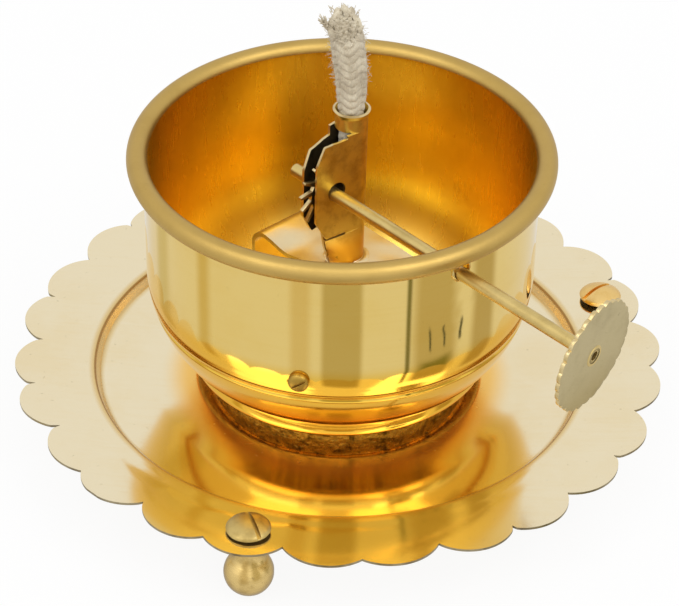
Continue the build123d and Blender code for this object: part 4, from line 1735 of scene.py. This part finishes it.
@dataclass
class Wick:
    """The braided cotton wick, squeezed in the tube and swollen above it.

    The yarn holds a width and a thickness. The length named squeezed is what the key can draw into the
    tube.
    """

    bottom: float = 24.7
    top: float = 90.1
    mouth: float = 70.4
    inside: float = 2.3
    loose: float = 2.86
    outside: float = 3.15
    squeezed: float = 6.0
    carriers: int = 8
    pitch: float = 1.6
    yarn: Flat = (1.50, 0.86)
    crimp: float = 0.17
    tip: float = 0.3
    lean: float = 1.8
    cut_slope: float = 0.78
    fibres: int = 800
    fibre_up: Spot = (0.31, 0.27, 0.91)
    stray_fibres: int = 26
    core_yarns: int = 34
    core_yarn: float = 0.92
    core_radius: float = 2.1
    core_turn: float = 2.399
    braid_step: float = 0.16
    braid_seed: int = 11
    fuzz_seed: int = 7

    def swell(self, height: float) -> float:
        """The braid's outer radius.

        Args:
            height: a height on the wick.

        Returns:
            The radius there.
        """
        first = (self.loose - self.inside) * smooth(self.mouth - 1.5, self.mouth + 3.5, height)
        rest = (self.outside - self.loose) * smooth(self.mouth + 4.0, self.mouth + 11.0, height)
        return self.inside + first + rest

    def middle(self, height: float) -> Vector:
        """The wick's middle line: upright in the tube, and leaning back above what the key draws in.

        Args:
            height: a height on the wick.

        Returns:
            The line's point at that height.
        """
        start = self.mouth + 0.7 * self.squeezed
        over = max(0.0, height - start) / (self.top - start)
        drift = Vector((self.tip - self.lean * over**1.4, 0.2 * over, 0.0))
        spot = HOLDER_AXES.origin
        return Vector((spot.x, spot.y, height)) + drift

    def end(self, offset: Vector) -> float:
        """Height of the slanted cut at a place beside the middle line."""
        return self.top - self.cut_slope * (self.outside - offset.y)

    def braid(self, number: int, hand: int, marks: random.Random) -> tuple[list[Vector], list[Vector]]:
        """One yarn of the braid, which passes over two yarns and under two.

        Args:
            number: its number among the yarns that turn the same way.
            hand: 1 or -1, the way it turns.
            marks: the source of its small differences.

        Returns:
            Its path and the outward direction at each point.
        """
        lay = self.pitch * self.carriers
        path, out = [], []
        height = self.bottom
        spare = marks.uniform(-0.5, 0.2)
        while height < self.top:
            angle = hand * TURN * height / lay + TURN * number / self.carriers
            way = polar(1.0, angle)
            over = math.sin(self.carriers / 2 * (angle + math.pi / 2))
            lift = self.crimp * hand * max(-1.0, min(1.0, 1.6 * over))
            radius = self.swell(height) - self.yarn[1] / 2 - self.crimp + lift
            radius += 0.09 * wobble(number * 3.1 + hand, height * 0.9)
            if height > self.end(way * radius) + spare:
                break
            path.append(self.middle(height) + way * radius)
            out.append(way)
            height += self.braid_step
        return path, out

    def core(self, number: int, marks: random.Random) -> tuple[list[Vector], list[Vector]]:
        """One straight yarn of the core.

        Args:
            number: its number in the core.
            marks: the source of its small differences.

        Returns:
            Its path and an outward direction at each point.
        """
        ring = self.core_radius * math.sqrt(number / self.core_yarns)
        way = polar(1.0, number * self.core_turn)
        last = self.end(way * ring) - 0.9 + 0.25 * ring + marks.uniform(-0.2, 0.3)
        path = []
        for k in range(61):
            height = self.bottom + (last - self.bottom) * k / 60
            path.append(self.middle(height) + way * (ring * self.swell(height) / self.outside))
        return path, [way] * len(path)

    def build(self) -> bpy.types.Object:
        """Braid the yarns round a soft core.

        Returns:
            The wick's object.
        """
        marks = random.Random(self.braid_seed)
        draft = Draft()
        for hand in (1, -1):
            for number in range(self.carriers):
                path, out = self.braid(number, hand, marks)
                draft.tube(path, *self.yarn, 10, out)
        for number in range(self.core_yarns):
            path, out = self.core(number, marks)
            draft.tube(path, self.core_yarn, self.core_yarn, 8, out)
        return draft.object("braided_wick", [WICK_COTTON], sharp=60.0)

    def fibre(
        self,
        draft: Draft,
        spot: Vector,
        heading: Vector,
        length: float,
        thick: float,
        marks: random.Random,
    ) -> None:
        """Add one loose fibre.

        Args:
            draft: the draft that it joins.
            spot: where it starts.
            heading: the way it starts.
            length: its length.
            thick: its thickness.
            marks: the source of its bend.
        """
        bend = Vector((marks.uniform(-1, 1), marks.uniform(-1, 1), marks.uniform(-1, 0.6))) * 0.5
        path = []
        for k in range(6):
            share = k / 5
            path.append(spot + heading * (length * share) + bend * (length * share * share))
        draft.tube(path, thick, thick, 4, [Vector(self.fibre_up)] * 6)

    def fuzz(self) -> bpy.types.Object:
        """Loose fibres on the braid, frayed ends on the cut and one yarn end that stands off.

        Returns:
            The object of all the fibres.
        """
        marks = random.Random(self.fuzz_seed)
        draft = Draft()
        for number in range(self.fibres):
            way = polar(1.0, marks.uniform(0.0, TURN))
            beside = UP.cross(way)
            if number % 7 == 0:
                offset = way * (self.outside * math.sqrt(marks.uniform(0.05, 1.0)))
                height = self.end(offset) - 0.5
                heading = way * 0.35 + UP * marks.uniform(0.5, 1.2) + beside * marks.uniform(-0.5, 0.5)
                length, thick = marks.uniform(0.5, 1.3), marks.uniform(0.10, 0.2)
            else:
                height = marks.uniform(self.mouth + 1.5, self.top - 3.0)
                offset = way * (self.swell(height) - 0.12)
                heading = way * 0.5 + UP * marks.uniform(-0.8, 0.8) + beside * marks.uniform(-1.0, 1.0)
                freed = 0.25 + 0.75 * smooth(self.mouth + 4.0, self.mouth + self.squeezed + 2.0, height)
                length, thick = marks.uniform(0.4, 1.3) * freed, marks.uniform(0.05, 0.10)
            spot = self.middle(height) + offset
            self.fibre(draft, spot, heading.normalized(), length, thick, marks)
        stray = self.middle(self.top - 3.4) + Vector((-self.outside + 0.2, 0.3, 0.0))
        for _ in range(self.stray_fibres):
            x, y = marks.uniform(-0.3, 0.3), marks.uniform(-0.3, 0.3)
            spot = stray + Vector((x, y, marks.uniform(-0.6, 0.2)))
            x, y = -0.45 + marks.uniform(-0.16, 0.16), marks.uniform(-0.2, 0.2)
            heading = Vector((x, y, 1.0)).normalized()
            self.fibre(draft, spot, heading, marks.uniform(1.8, 2.9), marks.uniform(0.16, 0.28), marks)
        return draft.object("wick_fuzz", [WICK_COTTON], sharp=80.0)

    def dress(self) -> None:
        """Build the wick and hand it over."""
        deliver(self.build(), "wick", "wick_cotton", "wick")
        deliver(self.fuzz(), "wick", "wick_cotton")


@dataclass
class Fixings:
    """Pieces that the solids already show well: they get a finish only."""

    finishes: tuple[tuple[str, Brass], ...] = (
        ("centre_stud", TURNED_BRASS),
        ("centre_washer", TURNED_BRASS),
        ("centre_nut", SCREW_BRASS),
        ("side_nut", SCREW_BRASS),
    )

    def dress(self) -> None:
        """Give each fixing its finish."""
        for node, finish in self.finishes:
            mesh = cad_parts[node].data
            mesh.materials.clear()
            mesh.materials.append(finish.material())
            LOG.info("dressed %s", node)


@dataclass(frozen=True)
class Card:
    """A standing card that only shows in the metal.

    Its bearing is in degrees from the front towards the right. Its sides fade over a share of its width.
    It reaches from the first height of its rise to the second, and may stand closer to the lamp than the
    other cards.
    """

    name: str
    bearing: float
    width: float
    colour: Colour
    soft: float
    rise: Flat = (0.0, 46.0)
    closer: float = 0.0


DARK_CARD = (0.08, 0.09, 0.07)
CARDS = (
    Card("olive_card", 1.0, 26.0, (0.54, 0.49, 0.33), 0.16),
    Card("tan_card", -17.0, 16.0, (0.70, 0.64, 0.50), 0.35),
    Card("brown_card", 44.0, 36.0, (0.55, 0.49, 0.33), 0.25),
    Card("first_bar", 30.3, 4.4, (0.20, 0.20, 0.10), 0.42, closer=0.6),
    Card("shade_card", 71.0, 26.0, (0.52, 0.46, 0.32), 0.3),
    Card("pale_card", -101.0, 26.0, (0.66, 0.63, 0.47), 0.4),
    Card("low_patch", 44.0, 26.0, (0.24, 0.23, 0.08), 0.3, (0.0, 10.0), 1.0),
    Card("dark_bar_0", 41.0, 1.6, DARK_CARD, 0.3, (12.0, 18.5), 1.5),
    Card("dark_bar_1", 48.0, 1.6, DARK_CARD, 0.3, (12.0, 18.5), 1.5),
    Card("dark_bar_2", 56.0, 2.6, DARK_CARD, 0.3, (12.0, 18.5), 1.5),
    Card("gold_card", -66.0, 16.0, (0.66, 0.58, 0.36), 0.45),
)


@dataclass
class Studio:
    """The pale floor, the soft light, the cards and the camera.

    Each lamp holds its name, its place in metres and its power in watts.
    """

    focal_pixels: float = 2837.55
    tilt: float = 0.6325
    roll: float = 0.0168
    eye: Spot = (-0.04, -436.1, 345.7)
    axis_drop: float = 1.45
    sensor: float = 36.0
    card_distance: float = 72.0
    cards: tuple[Card, ...] = CARDS
    lamps: tuple[tuple[str, Spot, float], ...] = (
        ("right_lamp", (0.42, -0.35, 0.75), 1.4),
        ("left_lamp", (-0.42, -0.35, 0.75), 1.0),
    )
    lamp_size: float = 0.5
    aim: Spot = (0.0, 0.0, 0.04)
    floor_reach: float = 4.0
    floor_glow: float = 0.78
    floor_share: float = 0.9
    sky_back: float = 0.70
    sky_front: float = 1.14

    def camera(self) -> None:
        """Set the camera where the photograph was taken from."""
        lens = bpy.data.cameras.new("camera")
        lens.sensor_width = self.sensor
        lens.sensor_fit = "HORIZONTAL"
        lens.lens = self.focal_pixels / PICTURE_WIDTH * self.sensor
        lens.shift_y = self.axis_drop / PICTURE_WIDTH
        lens.clip_start = 0.01
        ahead = Vector((0.0, math.cos(self.tilt), -math.sin(self.tilt)))
        turn, lean = math.cos(self.roll), math.sin(self.roll)
        right = Vector((turn, lean * math.sin(self.tilt), lean * math.cos(self.tilt)))
        above = Vector((-lean, turn * math.sin(self.tilt), turn * math.cos(self.tilt)))
        pose = Matrix((right, above, -ahead)).transposed().to_4x4()
        pose.translation = Vector(self.eye) * MM
        camera = stand("camera", lens)
        camera.matrix_world = pose
        bpy.context.scene.camera = camera

    def floor(self) -> None:
        """A wide pale floor that keeps a soft shadow."""
        mesh = bpy.data.meshes.new("floor")
        far = self.floor_reach
        corners = [(-far, -far, 0.0), (far, -far, 0.0), (far, far, 0.0), (-far, far, 0.0)]
        mesh.from_pydata(corners, [], [(0, 1, 2, 3)])
        floor = stand("floor", mesh)
        material, bench = blank("pale_floor")
        seen = bench.node("ShaderNodeLightPath", None, None, "Is Camera Ray")
        mirrored = bench.node("ShaderNodeLightPath", None, None, "Is Glossy Ray")
        through = bench.node("ShaderNodeLightPath", None, None, "Is Transmission Ray")
        paper = bench.node("ShaderNodeBsdfDiffuse", None, {"Color": (0.86, 0.86, 0.86, 1.0)})
        white = bench.node("ShaderNodeEmission", None, {"Color": WHITE, "Strength": 1.0})
        soft = bench.node("ShaderNodeEmission", None, {"Color": WHITE, "Strength": self.floor_glow})
        base = bench.merge((seen + through).clamped() * self.floor_share, paper, white)
        bench.close(bench.merge(mirrored * self.floor_share, base, soft))
        mesh.materials.append(material)

    def sky(self) -> None:
        """A white room: plain white behind the lamp, softer light from the sides."""
        world = bpy.data.worlds.new("white_room")
        world.use_nodes = True
        bpy.context.scene.world = world
        bench = Bench(world.node_tree)
        seen = bench.node("ShaderNodeLightPath", None, None, "Is Camera Ray")
        way = bench.node("ShaderNodeTexCoord", None, None, "Generated")
        _, y, z = bench.split(way)
        share = (z.rise(-0.1, 0.5) * 0.32 + y.rise(0.3, -0.7) * 0.68).clamped()
        dim = bench.node("ShaderNodeBackground", None, {"Color": WHITE, "Strength": self.sky_back})
        bright = bench.node("ShaderNodeBackground", None, {"Color": WHITE, "Strength": self.sky_front})
        white = bench.node("ShaderNodeBackground", None, {"Color": WHITE, "Strength": 1.0})
        bench.close(bench.merge(seen, bench.merge(share, dim, bright), white), "ShaderNodeOutputWorld")

    def lamp(self, name: str, place: Spot, power: float) -> None:
        """A soft square lamp that looks at the middle of the bowl.

        Args:
            name: the lamp's name.
            place: where it hangs, in metres.
            power: its power in watts.
        """
        light = bpy.data.lights.new(name, "AREA")
        light.shape = "SQUARE"
        light.size = self.lamp_size
        light.energy = power
        lamp = stand(name, light)
        lamp.location = place
        lamp.rotation_euler = (Vector(self.aim) - Vector(place)).to_track_quat("-Z", "Y").to_euler()

    def card(self, card: Card) -> None:
        """Set up one card.

        Args:
            card: what it is like.
        """
        angle = math.radians(card.bearing - 90.0)
        out, beside = polar(1.0, angle), polar(1.0, angle + math.pi / 2)
        low, high = card.rise
        foot = out * (self.card_distance - card.closer) + UP * low
        corners = [foot - beside * (card.width / 2), foot + beside * (card.width / 2)]
        corners += [corner + UP * (high - low) for corner in reversed(corners)]
        mesh = bpy.data.meshes.new(card.name)
        mesh.from_pydata([corner * MM for corner in corners], [], [(0, 1, 2, 3)])
        corner_map = mesh.uv_layers.new(name="across")
        for loop, spot in zip(corner_map.data, ((0, 0), (1, 0), (1, 1), (0, 1))):
            loop.uv = spot
        material, bench = blank(card.name)
        across, above, _ = bench.split(bench.node("ShaderNodeTexCoord", None, None, "UV"))
        solid = across.rise(0.0, card.soft) * across.rise(1.0, 1.0 - card.soft) * above.rise(1.0, 0.85)
        if low > 0.0:
            solid = solid * above.rise(0.0, 0.15)
        clear = bench.node("ShaderNodeBsdfTransparent")
        glow = bench.node("ShaderNodeEmission", None, {"Color": (*card.colour, 1.0), "Strength": 1.0})
        bench.close(bench.merge(solid, clear, glow))
        mesh.materials.append(material)
        sheet = stand(card.name, mesh)
        sheet.visible_camera = False
        sheet.visible_diffuse = False
        sheet.visible_shadow = False

    def dress(self) -> None:
        """Set up the whole studio."""
        bpy.context.scene.view_settings.view_transform = "Standard"
        self.camera()
        self.floor()
        self.sky()
        for lamp in self.lamps:
            self.lamp(*lamp)
        for card in self.cards:
            self.card(card)
        LOG.info("set the studio")


def main() -> None:
    """Build every part of the lamp in order."""
    logging.basicConfig(level=logging.INFO, format="%(message)s")
    for part in (Studio(), Tray(), Feet(), Bowl(), Bridge(), Holder(), Key(), Wick(), Fixings()):
        part.dress()


if __name__ == "__main__":
    main()
